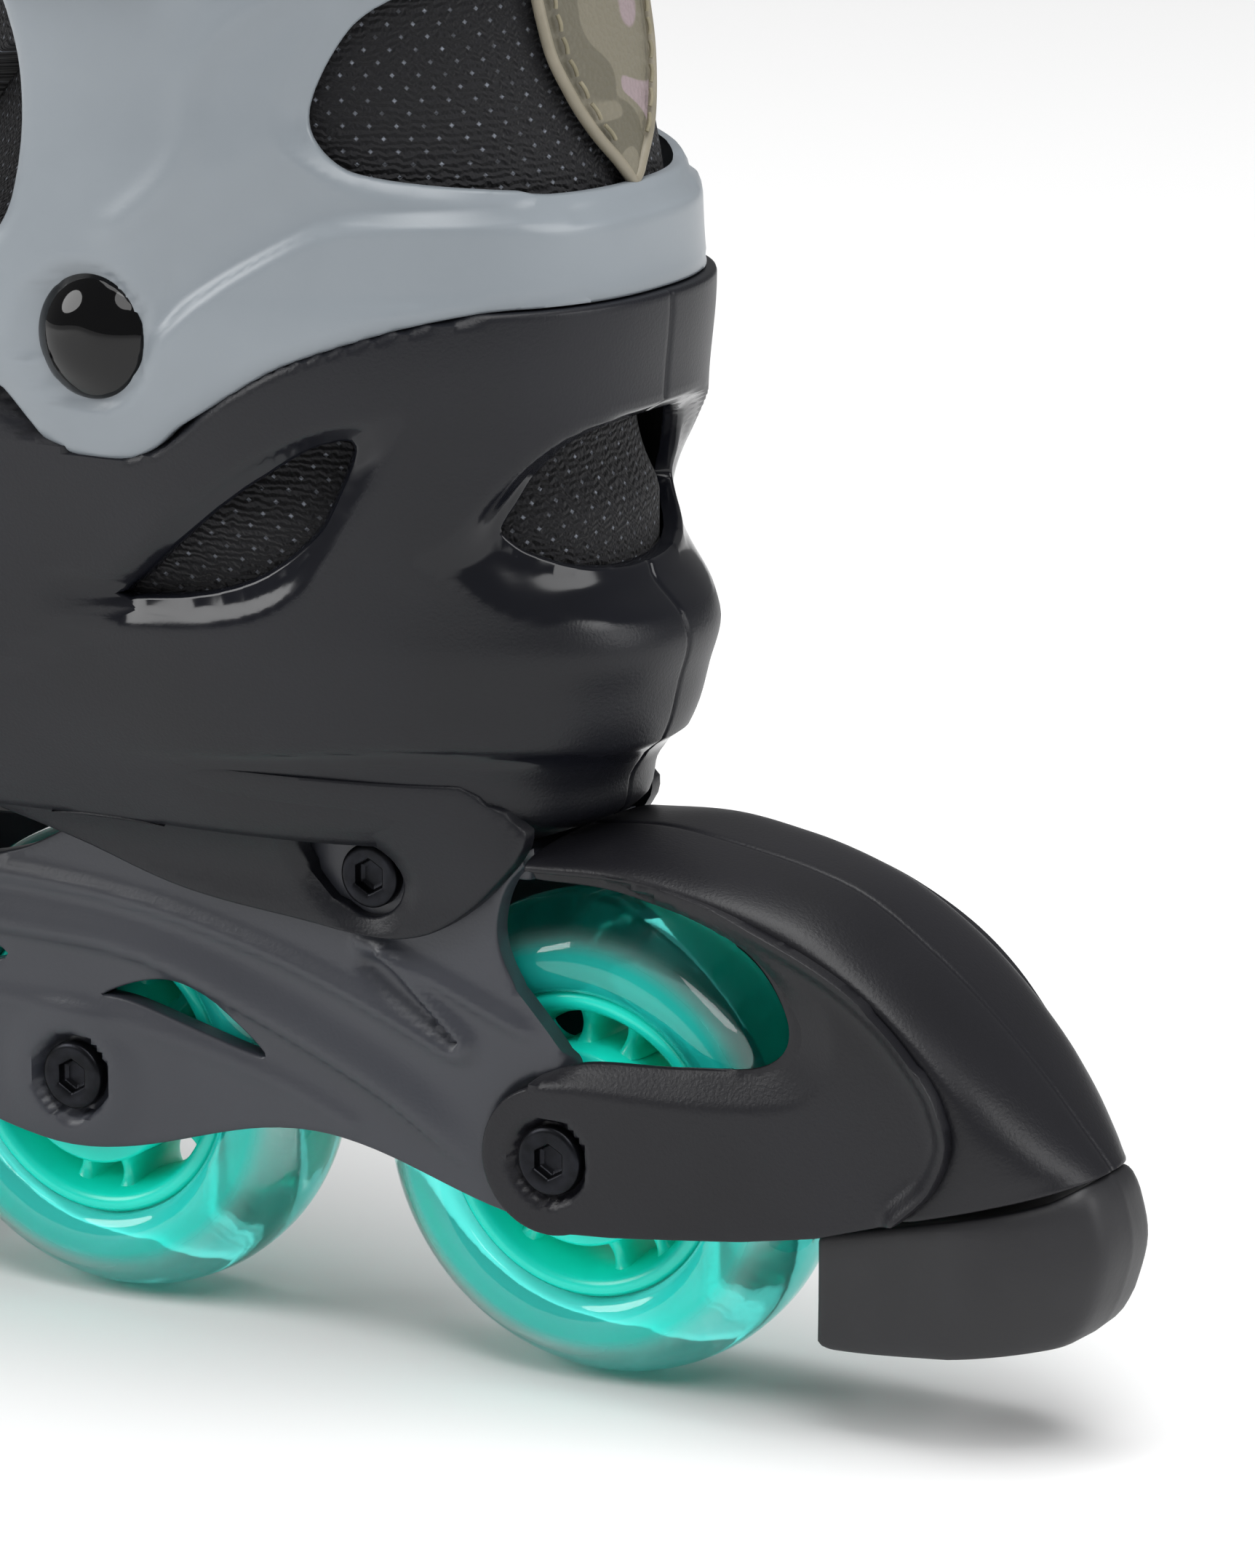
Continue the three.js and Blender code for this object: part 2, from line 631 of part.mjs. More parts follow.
// ---------------------------------------------------------------- soft boot
const linerGap = 0.5;
const flangeDrop = 1; // the shell's wall curves away behind a rivet's flange
const flangeSpace = 3; // the soft boot leaves room for the pivot rivets' inner flanges

function linerInset(z) {
  return wallAt(z) + linerGap + flangeSpace * THREE.MathUtils.smoothstep(z, 112, 132);
}

const cuffLinerInset = cuffWall + 1.6;
const ankleRadius = 40; // the soft boot is parted on a cylinder round the pivots
const partingGap = 1.2;
const footPartTop = 154.5;
const legPartBottom = 158.2;
const bendFrom = 12; // degrees above level where the foot part ends in front
const bendTo = 30; // and where the cuff part starts

function footZone() {
  const radians = THREE.MathUtils.degToRad(bendFrom);
  const far = 200;
  return [[-60, 60], [-60, footPartTop], [pivotX - ankleRadius, footPartTop],
    ...arc(pivotX, pivotZ, ankleRadius, 173, bendFrom, 10),
    [pivotX + far * Math.cos(radians), pivotZ + far * Math.sin(radians)], [320, 60]];
}

function legZone() {
  const radians = THREE.MathUtils.degToRad(bendTo);
  const far = 120;
  const radius = ankleRadius + partingGap;
  return [[-60, legPartBottom], [pivotX - radius, legPartBottom],
    ...arc(pivotX, pivotZ, radius, 168, bendTo, 10),
    [pivotX + far * Math.cos(radians), pivotZ + far * Math.sin(radians)], [170, 300], [-60, 300]];
}

const legLevels = [165, 185, 205, 225, 240];
const linerTop = 246;
const tongueTop = 254;

function footPadding() {
  const floor = soleZ + shellWall + clearance;
  const outer = form(linerInset, floor, 196, shellLevels, 6);
  const inner = form((z) => linerInset(z) + linerThickness, floor + 2, 198, shellLevels, 5);
  return cut(outer, inner).intersect(prism(footZone(), -60, 60));
}

function legPadding(top) {
  const outer = form(cuffLinerInset, 150, top, legLevels);
  const inner = form(cuffLinerInset + linerThickness, 149, top + 1, legLevels, 6);
  return cut(outer, inner).intersect(prism(legZone(), -60, 60));
}

const footTongueX = [104, 200];
const legTongueX = 78;

function tongueSpace(grow) {
  const half = tongueHalfWidth + grow;
  return {
    foot: box(footTongueX[0] - grow, footTongueX[1] + grow, -half, half, 112, 260),
    leg: box(legTongueX - grow, 200, -half, half, 140, 300),
  };
}

function footbed() {
  const z0 = soleZ + shellWall + clearance + 2 + clearance;
  const inset = linerInset(z0) + linerThickness + 1;
  const outline = ring(z0, inset, 5).map((p) => [p.x, p.y]);
  return slab(outline, z0, z0 + footbedThickness);
}

// A long patch on the back of the soft boot, pointed at its lower end, that ends in a grip above it.
function pullTab() {
  const inset = cuffWall + 0.4;
  const skin = cut(form(inset, 150, 262, legLevels), form(inset + 0.8, 149, 263, legLevels));
  const halfWidth = through([[171, 2.5], [178, 7], [190, 12], [205, 14.5], [235, 14], [262, 11]]);
  const heights = [171, 178, 190, 205, 235, 262];
  const side = heights.map((z) => [halfWidth(z), z]);
  const mirrored = side.slice().reverse().map(([y, z]) => [-y, z]);
  const shape = new THREE.Shape([...side, ...mirrored].map(([y, z]) => new THREE.Vector2(y, z)));
  const backView = new THREE.ExtrudeGeometry(shape, { depth: 60, bevelEnabled: false });
  backView.rotateX(Math.PI / 2);
  backView.rotateZ(Math.PI / 2);
  backView.translate(-30, 0, 0);
  return skin.intersect(solid(backView));
}

// ---------------------------------------------------------------- cuff
function cuffOutline() {
  const lowerEdge = [[-40, 155.4], [5, 154.9], [12.4, 154], [20.6, 151.6], [29.3, 148.2], [38.3, 142.8]];
  return [...lowerEdge, ...arc(pivotX, pivotZ, lobeRadius, 222, 300, 6), [72, 141.6], [82, 147], [88, 151.5],
    [90, 156.5], [87, 160.5], [78, 161], [73, 163.5], [70.4, 170], [69.5, 180], [71, 190], [76, 198.5],
    [86, 203.5], [96, 205.5], [97.5, 212], [95, 220], [88, 224.5], [60, 226], [20, 228], [-40, 229]];
}

function cuffWindow() {
  return [[24.5, 178.5], [22.5, 184], [17.5, 190.5], [8, 198], [-2, 203], [-40, 206], [-40, 169.4], [-3, 169.6],
    [8, 172.6], [16, 174.6], [22, 176]];
}

function cuff() {
  const outer = form(0, 128, 230, cuffLevels);
  const inner = form(cuffWall, 127, 231, cuffLevels);
  const region = cut(prism(cuffOutline(), -60, 60), prism(cuffWindow(), -70, 70));
  const recess = (side) => {
    const face = side * (ankleHalf(pivotZ) - 1);
    const [y0, y1] = [face, face + side * 10].sort((p, q) => p - q);
    return rod(capRadius + 1.4, pivotX, pivotZ, y0, y1, 20);
  };
  const body = cut(outer, inner).intersect(region);
  return cut(body, recess(1), recess(-1), rod(rivetRadius + clearance, pivotX, pivotZ, -60, 60),
    screwBore(strapScrews.cuff));
}

function pivotRivet(side) {
  const face = ankleHalf(pivotZ) - 1 + clearance;
  const wallInside = ankleHalf(pivotZ) - collarStep - collarWall - clearance - flangeDrop;
  const flange = wallInside - 1.2;
  const profile = [[0, flange], [6.4, flange], [6.4, wallInside], [rivetRadius, wallInside], [rivetRadius, face],
    [capRadius, face], [capRadius, face + 0.8], [capRadius * 0.78, face + capHeight * 0.78],
    [capRadius * 0.4, face + capHeight], [0, face + capHeight]];
  const left = turned(profile, pivotX, pivotZ, 20);
  return side > 0 ? left : left.mirror([0, 1, 0]);
}

// ---------------------------------------------------------------- closures
const screwRadius = 1.9;
const screwReach = 3; // into the wall behind the strap
const headDrop = 0.4; // the curved strap rises under a flat head
const strapScrews = { cuff: { x: 84, z: 213 }, instep: { x: 116, z: 125 } };

// Each closure lies in a band that is straight in side view. 'along' is its direction there.
const closures = {
  cuff: { at: [66, 213], along: [1, 0], strapFrom: -22, baseHalf: 17, levels: cuffLevels, span: [128, 230] },
  instep: { at: [121, 130], along: [0.62, 0.785], strapFrom: -20, baseHalf: 15, levels: shellLevels,
    span: [soleZ, 178] },
};

// A rectangle in side view, given along and across a closure's direction.
function bandRectangle({ at, along }, from, to, low, high) {
  const across = [-along[1], along[0]];
  const corner = (s, w) => [at[0] + along[0] * s + across[0] * w, at[1] + along[1] * s + across[1] * w];
  return [corner(from, low), corner(to, low), corner(to, high), corner(from, high)];
}

function layer(closure, near, far) {
  const [z0, z1] = closure.span;
  return cut(form(-far, z0, z1, closure.levels), form(-near, z0 - 1, z1 + 1, closure.levels));
}

const baseFloor = 1.5;
const wallHeight = 10;
const leverRest = strapGap + strapThickness + 1.5; // room for the lever's heel as it turns
const leverHeel = 1.9; // behind its pin
const pinInset = 5; // of the pin from the base's end

function strap(closure) {
  const half = strapWidth / 2;
  const band = layer(closure, strapGap, strapGap + strapThickness);
  return band.intersect(prism(bandRectangle(closure, closure.strapFrom, 90, -half, half), -70, 70));
}

function buckleBase(closure) {
  const half = strapWidth / 2 + 0.5;
  const wall = 1.7;
  const rectangle = (low, high) => prism(bandRectangle(closure, -closure.baseHalf, closure.baseHalf, low, high), -70, 0);
  const floor = layer(closure, clearance, clearance + baseFloor).intersect(rectangle(-half - wall, half + wall));
  const walls = layer(closure, clearance, wallHeight);
  return join(floor, walls.intersect(rectangle(half, half + wall)), walls.intersect(rectangle(-half - wall, -half)));
}

function pinAt(closure) {
  const s = pinInset - closure.baseHalf;
  return [closure.at[0] + closure.along[0] * s, closure.at[1] + closure.along[1] * s];
}

// A rod along the closure's cross direction, at a depth outside the boot's outer face.
function crossRod(closure, radius, halfLength) {
  const [x, z] = pinAt(closure);
  const geometry = new THREE.CylinderGeometry(radius, radius, 2 * halfLength, 10);
  const across = new THREE.Vector3(-closure.along[1], 0, closure.along[0]);
  geometry.applyQuaternion(new THREE.Quaternion().setFromUnitVectors(new THREE.Vector3(0, 1, 0), across));
  geometry.translate(x, closure.pinY, z);
  return solid(geometry);
}

function buckleLever(closure) {
  const half = strapWidth / 2 - 0.2;
  const plate = layer(closure, leverRest, leverRest + leverThickness);
  const outline = bandRectangle(closure, pinInset - leverHeel - closure.baseHalf, closure.baseHalf + 8, -half, half);
  return cut(plate.intersect(prism(outline, -70, 0)), crossRod(closure, pinRadius + clearance, 30));
}

// Turns a profile of [radius, height over the boot's form] points round the form's normal at a place.
function standing(profile, { x, z, face, normal }, segments = 12) {
  const geometry = new THREE.LatheGeometry(profile.map(([r, y]) => new THREE.Vector2(r, y)), segments);
  geometry.applyQuaternion(new THREE.Quaternion().setFromUnitVectors(new THREE.Vector3(0, 1, 0), normal));
  geometry.translate(x, face, z);
  return solid(geometry);
}

function screwBore(place) {
  const radius = screwRadius + clearance;
  return standing([[0, -12], [radius, -12], [radius, 12], [0, 12]], place, 10);
}

function strapScrew(place) {
  const seat = strapGap + strapThickness + clearance + headDrop;
  return standing([[0, -screwReach], [screwRadius, -screwReach], [screwRadius, seat], [4, seat], [4, seat + 1],
    [3, seat + 1.8], [0, seat + 1.8]], place);
}

// Half-width of the boot's form at a place in side view.
function halfWidthAt(x, z) {
  const points = ring(z, 0, 7).slice(0, 15);
  for (let i = 1; i < points.length; i += 1) {
    const [p, q] = [points[i - 1], points[i]];
    if (q.x >= x) return p.y + ((q.y - p.y) * (x - p.x)) / (q.x - p.x || 1);
  }
  return 0;
}

for (const closure of Object.values(closures)) {
  const [x, z] = pinAt(closure);
  closure.pinY = -(halfWidthAt(x, z) + leverRest + leverThickness / 2);
}
for (const place of Object.values(strapScrews)) {
  const { x, z } = place;
  const slope = (dx, dz) => (halfWidthAt(x + dx, z + dz) - halfWidthAt(x - dx, z - dz)) / 2;
  place.face = halfWidthAt(x, z);
  place.normal = new THREE.Vector3(-slope(1, 0), 1, -slope(0, 1)).normalize();
}

// ---------------------------------------------------------------- lace
const laceRows = [150, 163, 176, 189];
const laceLift = 3.4; // of the lace's middle over the boot's form
const rimHeight = through([[104, 147.6], [110, 146], [140, 140.5], [170, 134.5], [196, 130], [212, 126.5]]);
const guideDrop = [12, 1.5]; // the guides' strip, measured down from the shell's rim

function topHeight(x, y) {
  for (let z = 178; z > 100; z -= 0.25) {
    if (halfWidthAt(x, z) > Math.abs(y) + 0.01) return z;
  }
  return 100;
}

function lacePath() {
  const points = [];
  laceRows.forEach((x, row) => {
    const turn = row % 2 === 0 ? 1 : -1;
    const flank = (drop, lift) => {
      const z = rimHeight(x) - drop;
      return [halfWidthAt(x, z) + lift, z];
    };
    const over = [flank(7, laceLift), flank(-2, laceLift - 0.6), [15, topHeight(x, 15) + 1], [0, topHeight(x, 0) + 0.5]];
    const bar = [...over, ...over.slice(0, -1).reverse().map(([y, z]) => [-y, z])];
    for (const [y, z] of bar) points.push(new THREE.Vector3(x, turn * y, z));
  });
  return new THREE.CatmullRomCurve3(points, false, 'centripetal');
}

function laceTube(radius) {
  const circle = new THREE.Shape();
  circle.absarc(0, 0, radius, 0, 2 * Math.PI);
  return solid(new THREE.ExtrudeGeometry(circle, { steps: 44, curveSegments: 3, extrudePath: lacePath() }));
}

function laceGuide(side) {
  const [y0, y1] = side > 0 ? [0, 70] : [-70, 0];
  const from = laceRows[0] - 8;
  const to = laceRows[laceRows.length - 1] + 8;
  const xs = [from, (from + to) / 2, to];
  const [deep, shallow] = guideDrop;
  const outline = [...xs.map((x) => [x, rimHeight(x) - deep]), ...xs.reverse().map((x) => [x, rimHeight(x) - shallow])];
  const plate = layer(closures.instep, clearance, laceLift + laceRadius + 1.6);
  return cut(plate.intersect(prism(outline, y0, y1)), laceTube(laceRadius + 0.5));
}

// ---------------------------------------------------------------- assembly
const parts = [named('frame', frame(), framePlastic)];

axleX.forEach((x, i) => {
  const number = wheelCount - i; // wheel 1 is the front one
  parts.push(
    named(`tyre_${number}`, tyre(x), urethane),
    named(`hub_${number}`, hub(x), hubPlastic),
    named(`bearing_${number}_left`, bearing(x, 1), steel),
    named(`bearing_${number}_right`, bearing(x, -1), steel),
    named(`spacer_${number}`, spacer(x), steel),
    named(`axle_bolt_${number}`, axleBolt(x), blackSteel),
    named(`axle_screw_${number}`, axleScrew(x), blackSteel),
  );
});

for (const [place, x] of [['rear', mountXs[0]], ['front', mountXs[1]]]) {
  parts.push(named(`mount_bolt_${place}`, mountBolt(x), blackSteel));
  parts.push(named(`mount_nut_${place}`, mountNut(x), blackSteel));
}

parts.push(
  named('brake_housing', brakeHousing(), brakePlastic),
  named('brake_pad', brakePad(), rubber),
  named('brake_screw', brakeScrew(), blackSteel),
  named('shell', shell(), shellPlastic),
  named('footbed', footbed(), mesh3d),
  named('liner_foot', cut(footPadding(), tongueSpace(0.4).foot), mesh3d),
  named('liner_cuff', cut(legPadding(linerTop), tongueSpace(0.4).leg), mesh3d),
  named('tongue_foot', footPadding().intersect(tongueSpace(0).foot), mesh3d),
  named('tongue_cuff', legPadding(tongueTop).intersect(tongueSpace(0).leg), mesh3d),
  named('pull_tab', pullTab(), tabLeather),
  named('cuff', cuff(), cuffPlastic),
  named('pivot_rivet_left', pivotRivet(1), capPlastic),
  named('pivot_rivet_right', pivotRivet(-1), capPlastic),
);

for (const [name, closure] of Object.entries(closures)) {
  const screw = strapScrews[name];
  parts.push(
    named(`${name}_strap`, cut(strap(closure), screwBore(screw)), webbing),
    named(`${name}_buckle_base`, cut(buckleBase(closure), crossRod(closure, pinRadius + clearance / 2, 30)), buckle),
    named(`${name}_buckle_lever`, buckleLever(closure), buckle),
    named(`${name}_buckle_pin`, crossRod(closure, pinRadius, strapWidth / 2 + 2), steel),
    named(`${name}_strap_screw`, strapScrew(screw), blackSteel),
  );
}

parts.push(
  named('lace', laceTube(laceRadius), webbing),
  named('lace_guide_left', laceGuide(1), buckle),
  named('lace_guide_right', laceGuide(-1), buckle),
);

const skate = new THREE.Group();
skate.add(...parts);
const bounds = new THREE.Box3().setFromObject(skate);
const middle = bounds.getCenter(new THREE.Vector3());
skate.position.set(-middle.x, -middle.y, -bounds.min.z);
export default skate;
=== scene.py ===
# %% [markdown]
# # A soft inline skate
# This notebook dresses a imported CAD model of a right-foot inline skate in its real surfaces.

# %% Load the frame
import math
import bpy
import numpy as np
from mathutils import Matrix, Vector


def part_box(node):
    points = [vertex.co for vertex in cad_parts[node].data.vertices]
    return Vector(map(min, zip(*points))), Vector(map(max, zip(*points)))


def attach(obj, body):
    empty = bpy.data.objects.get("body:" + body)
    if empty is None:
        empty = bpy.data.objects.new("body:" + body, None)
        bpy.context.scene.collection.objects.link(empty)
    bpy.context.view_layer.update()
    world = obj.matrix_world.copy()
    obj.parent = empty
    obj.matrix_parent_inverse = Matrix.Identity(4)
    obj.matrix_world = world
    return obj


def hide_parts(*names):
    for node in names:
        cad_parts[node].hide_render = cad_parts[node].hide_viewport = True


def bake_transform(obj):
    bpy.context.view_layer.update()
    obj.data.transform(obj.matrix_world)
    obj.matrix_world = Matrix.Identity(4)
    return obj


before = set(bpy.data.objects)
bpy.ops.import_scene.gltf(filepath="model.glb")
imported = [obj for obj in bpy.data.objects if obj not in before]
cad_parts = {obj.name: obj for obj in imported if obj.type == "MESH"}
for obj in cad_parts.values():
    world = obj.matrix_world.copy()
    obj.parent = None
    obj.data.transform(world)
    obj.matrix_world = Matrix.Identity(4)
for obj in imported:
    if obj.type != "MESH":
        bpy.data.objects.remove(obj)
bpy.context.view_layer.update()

# %% [markdown]
# ## Where things are
# A skate is measured from its wheels, so every shape below is in millimetres from the rear axle: x runs
# to the toe, y to the inner side of the foot and z up from the floor. One shift, read off the rear
# tyre, takes those millimetres to the frame's metres.

# %% Shift from the rear axle to the frame
low, high = (np.array(corner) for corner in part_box("tyre_4"))
rear_axle = np.array([(low[0] + high[0]) / 2, (low[1] + high[1]) / 2, 0.0])
wheel_radius = 35.0
wheel_pitch = (low[0] - np.array(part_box("tyre_1"))[0][0]) * -1000 / 3
axles = {4: 0.0, 3: wheel_pitch, 2: 2 * wheel_pitch, 1: 3 * wheel_pitch}
middle_x = 1.5 * wheel_pitch
print("rear axle at", rear_axle, "wheel pitch", round(wheel_pitch, 2))


def in_frame(points):
    """Millimetres from the rear axle become metres in the frame: p / 1000 + the rear axle's place."""
    return np.asarray(points, float) / 1000 + rear_axle


# %% [markdown]
# ## Camera, floor and light
# A long lens from behind and a little above, on the inner side, looks at the heel, the rear wheel and
# the brake. Long lenses keep the wheels round. A broad ceiling light whitens the floor, four large soft
# lamps draw gentle highlights on the dark plastic, and the pale world fills the shadows.

# %% Camera
def aim(direction):
    """Rotation whose -Z looks along the direction and whose X stays level, as a 3 by 3 matrix."""
    forward = np.asarray(direction, float) / np.linalg.norm(direction)
    right = np.cross(forward, (0, 0, 1))
    right /= np.linalg.norm(right)
    return np.column_stack([right, np.cross(right, forward), -forward])


def placed(obj, position, direction, roll_deg=0.0):
    """Puts a camera or lamp at a place in metres, looking along a direction, and links it."""
    turn = Matrix(aim(direction).tolist()) @ Matrix.Rotation(math.radians(roll_deg), 3, "Z")
    obj.matrix_world = Matrix.Translation(tuple(position)) @ turn.to_4x4()
    bpy.context.collection.objects.link(obj)


yaw, drop = math.radians(29.51), math.radians(13.74)
look = (math.sin(yaw) * math.cos(drop), -math.cos(yaw) * math.cos(drop), -math.sin(drop))
camera_data = bpy.data.cameras.new("camera")
camera_data.lens = 166.1
camera_data.clip_end = 20
camera = bpy.data.objects.new("camera", camera_data)
placed(camera, in_frame((-484.76, 853.36, 325.0)), look, 0.12)
bpy.context.scene.camera = camera


# %% Lamps, world and floor
def soft_lamp(name, target, offset, size, power):
    """A round area lamp at target (mm) + offset (m) that looks back at the target."""
    lamp = bpy.data.lights.new(name, "AREA")
    lamp.shape = "DISK"
    lamp.size = size
    lamp.energy = power
    place = in_frame(target) + np.array(offset)
    placed(bpy.data.objects.new(name, lamp), place, -np.array(offset))


soft_lamp("key_lamp", (60, 0, 120), (-0.9, 1.0, 1.5), 1.1, 12)
soft_lamp("heel_lamp", (20, 0, 100), (-1.6, -0.3, 0.7), 0.9, 9)
soft_lamp("toe_lamp", (120, 0, 100), (1.3, 1.1, 0.9), 1.0, 15)
soft_lamp("top_lamp", (80, 0, 120), (0.1, -0.4, 1.8), 1.4, 9)

ceiling = bpy.data.lights.new("ceiling_light", "SUN")
ceiling.energy = 1.9
ceiling.angle = math.radians(50)
placed(bpy.data.objects.new("ceiling_light", ceiling), in_frame((0, 0, 2500)), (0.12, -0.1, -1.0))

world = bpy.data.worlds.new("studio")
bpy.context.scene.world = world
world.use_nodes = True
world.node_tree.nodes["Background"].inputs["Color"].default_value = (1, 1, 1, 1)
world.node_tree.nodes["Background"].inputs["Strength"].default_value = 0.2
bpy.context.scene.view_settings.view_transform = "Standard"

floor_mesh = bpy.data.meshes.new("studio_floor")
corners = [(-8, -8, 0), (8, -8, 0), (8, 8, 0), (-8, 8, 0)]
floor_mesh.from_pydata([(x, y, -0.0002) for x, y, _ in corners], [], [(0, 1, 2, 3)])
studio_floor = bpy.data.objects.new("studio_floor", floor_mesh)
bpy.context.collection.objects.link(studio_floor)
floor_paper = bpy.data.materials.new("matt_studio_paper")
floor_paper.use_nodes = True
floor_paper.node_tree.nodes["Principled BSDF"].inputs["Base Color"].default_value = (0.86, 0.86, 0.86, 1)
floor_paper.node_tree.nodes["Principled BSDF"].inputs["Roughness"].default_value = 0.9
floor_mesh.materials.append(floor_paper)


# %% [markdown]
# ## Helpers for finishes
# Every colour below is the hex code that a designer would note down. Blender's shaders want linear
# light, so one function turns the code to linear, and one small function adds a node with its
# settings and links.

# %% Colour and node helpers
def linear(code):
    """sRGB hex to linear RGBA: c / 12.92 in the darks, ((c + 0.055) / 1.055) ** 2.4 above them."""
    c = np.array([int(code[i:i + 2], 16) / 255 for i in (1, 3, 5)])
    rgb = np.where(c <= 0.04045, c / 12.92, ((c + 0.055) / 1.055) ** 2.4)
    return (*rgb.tolist(), 1.0)


def add(tree, kind, inputs=None, **settings):
    """Adds a node; inputs maps a socket to a value or to another node's output."""
    node = tree.nodes.new("ShaderNode" + kind)
    for name, value in settings.items():
        setattr(node, name, value)
    for socket, value in (inputs or {}).items():
        if isinstance(value, bpy.types.NodeSocket):
            tree.links.new(value, node.inputs[socket])
        else:
            node.inputs[socket].default_value = value
    return node


def finish_named(name, colour, rough, metal=0.0, **sockets):
    """A new material with one Principled shader; returns the material, its tree and the shader."""
    material = bpy.data.materials.new(name)
    material.use_nodes = True
    tree = material.node_tree
    shader = tree.nodes["Principled BSDF"]
    shader.inputs["Base Color"].default_value = linear(colour)
    shader.inputs["Roughness"].default_value = rough
    shader.inputs["Metallic"].default_value = metal
    for socket, value in sockets.items():
        shader.inputs[socket.replace("_", " ")].default_value = value
    return material, tree, shader


def grain(tree, shader, grit_mm, height_mm, mask=None, detail=3.0):
    """Bump from noise whose grains are grit_mm across: noise scale = 1000 / grit on Object metres."""
    where = add(tree, "TexCoord").outputs["Object"]
    noise = add(tree, "TexNoise", {"Vector": where, "Scale": 1000 / grit_mm, "Detail": detail})
    height = noise.outputs["Fac"]
    if mask is not None:
        height = add(tree, "Math", {0: height, 1: mask}, operation="MULTIPLY").outputs[0]
    bump = add(tree, "Bump", {"Height": height, "Distance": height_mm / 1000, "Strength": 1.0})
    tree.links.new(bump.outputs["Normal"], shader.inputs["Normal"])
    return bump


def mottled(tree, shader, dark, light, size_mm, amount=1.0):
    """Base colour that drifts between two hex colours over patches size_mm across."""
    where = add(tree, "TexCoord").outputs["Object"]
    noise = add(tree, "TexNoise", {"Vector": where, "Scale": 1000 / size_mm, "Detail": 4.0})
    ramp = add(tree, "MapRange", {"Value": noise.outputs["Fac"], 1: 0.35, 2: 0.65, 4: amount})
    mix = add(tree, "Mix", {"Factor": ramp.outputs[0], "A": linear(dark), "B": linear(light)},
              data_type="RGBA")
    tree.links.new(mix.outputs["Result"], shader.inputs["Base Color"])
    return mix


# %% [markdown]
# ## Moulded plastics
# The boot's shell is injection moulded in a tool that was spark eroded, which leaves an even matt
# grain of about a third of a millimetre. The lips of its vents were polished in the same tool, so
# they shine. A vertex attribute named polish tells the shader where. The cuff, the wheel hubs and
# the frame come from finer tools.

# %% Shell, frame and brake plastics
def spark_eroded(name, dark, light, rough, shine, grit, height, specular=0.3):
    """Moulded nylon: roughness and grain fade out where the attribute polish rises to 1."""
    material, tree, shader = finish_named(name, dark, rough, IOR=1.53, Specular_IOR_Level=specular)
    polish = add(tree, "Attribute", attribute_name="polish").outputs["Fac"]
    matt = add(tree, "Math", {0: 1.0, 1: polish}, operation="SUBTRACT").outputs[0]
    mottled(tree, shader, dark, light, 38)
    level = add(tree, "MapRange", {"Value": polish, 3: rough, 4: shine})
    tree.links.new(level.outputs[0], shader.inputs["Roughness"])
    grain(tree, shader, grit, height, matt)
    return material


shell_nylon = spark_eroded("spark_eroded_nylon_shell", "#101116", "#15161c", 0.40, 0.13, 0.45, 0.05)
frame_nylon = spark_eroded("glass_filled_nylon_frame", "#303239", "#36383f", 0.40, 0.25, 0.5, 0.03, 0.5)
brake_nylon = spark_eroded("spark_eroded_nylon_brake", "#141418", "#19191e", 0.38, 0.16, 0.5, 0.05)


# %% Cuff, cap, buckle and rubber
def plain_moulding(name, dark, light, rough, grit, height, patch=45, **sockets):
    """One even finish: colour that drifts over patches in mm, and grains of that grit and height."""
    material, tree, shader = finish_named(name, dark, rough, **sockets)
    mottled(tree, shader, dark, light, patch)
    grain(tree, shader, grit, height)
    return material


cuff_plastic = plain_moulding("moulded_polypropylene_cuff", "#82898f", "#8a9197", 0.30, 0.7, 0.012,
                              IOR=1.49)
cap_plastic = plain_moulding("polished_abs_cap", "#030304", "#050506", 0.04, 2.5, 0.002, IOR=1.5,
                             Specular_IOR_Level=0.35)
buckle_plastic = plain_moulding("moulded_acetal_buckle", "#141517", "#1a1b1e", 0.28, 0.5, 0.02, IOR=1.48)
brake_rubber = plain_moulding("moulded_brake_rubber", "#121216", "#18181c", 0.5, 0.8, 0.03, 12, IOR=1.52)
hub_plastic = plain_moulding("moulded_nylon_hub", "#14f0d8", "#1ef8e0", 0.28, 0.8, 0.01, 20, IOR=1.53)

# %% [markdown]
# ## Cast urethane
# The tyres are clear polyurethane tinted teal, cast round the hub. Thin edges look almost like water
# and thick parts take the hub's colour, so the shader mixes transmission with a tinted body.

# The layer clear, which rises towards the tread, turns the tint off where the urethane is thin.

# %% Tyre urethane
tyre_urethane, tree, shader = finish_named("cast_polyurethane_tyre", "#8ff0e2", 0.05, IOR=1.5)
clear = add(tree, "Attribute", attribute_name="clear").outputs["Fac"]
body = add(tree, "Mix", {"Factor": clear, "A": linear("#30fff0"), "B": linear("#ecfdfb")}, data_type="RGBA")
tree.links.new(body.outputs["Result"], shader.inputs["Base Color"])
share = add(tree, "MapRange", {"Value": clear, 3: 0.66, 4: 1.0})
tree.links.new(share.outputs[0], shader.inputs["Transmission Weight"])
grain(tree, shader, 5.0, 0.03)

# %% [markdown]
# ## Metals
# Bolts are steel blackened in hot salts, which leaves a satin black skin over the turned metal. The
# bearing races are ground and the pins drawn, so both keep bright steel with fine marks.

# %% Steels
black_oxide, tree, shader = finish_named("black_oxide_steel_bolt", "#1b1c20", 0.32, 0.85)
mottled(tree, shader, "#17181b", "#232429", 3)
grain(tree, shader, 0.35, 0.01)
bright_steel, tree, shader = finish_named("ground_bearing_steel", "#b6b8ba", 0.2, 1.0)
mottled(tree, shader, "#a9abad", "#c0c2c4", 2)
grain(tree, shader, 0.3, 0.004)

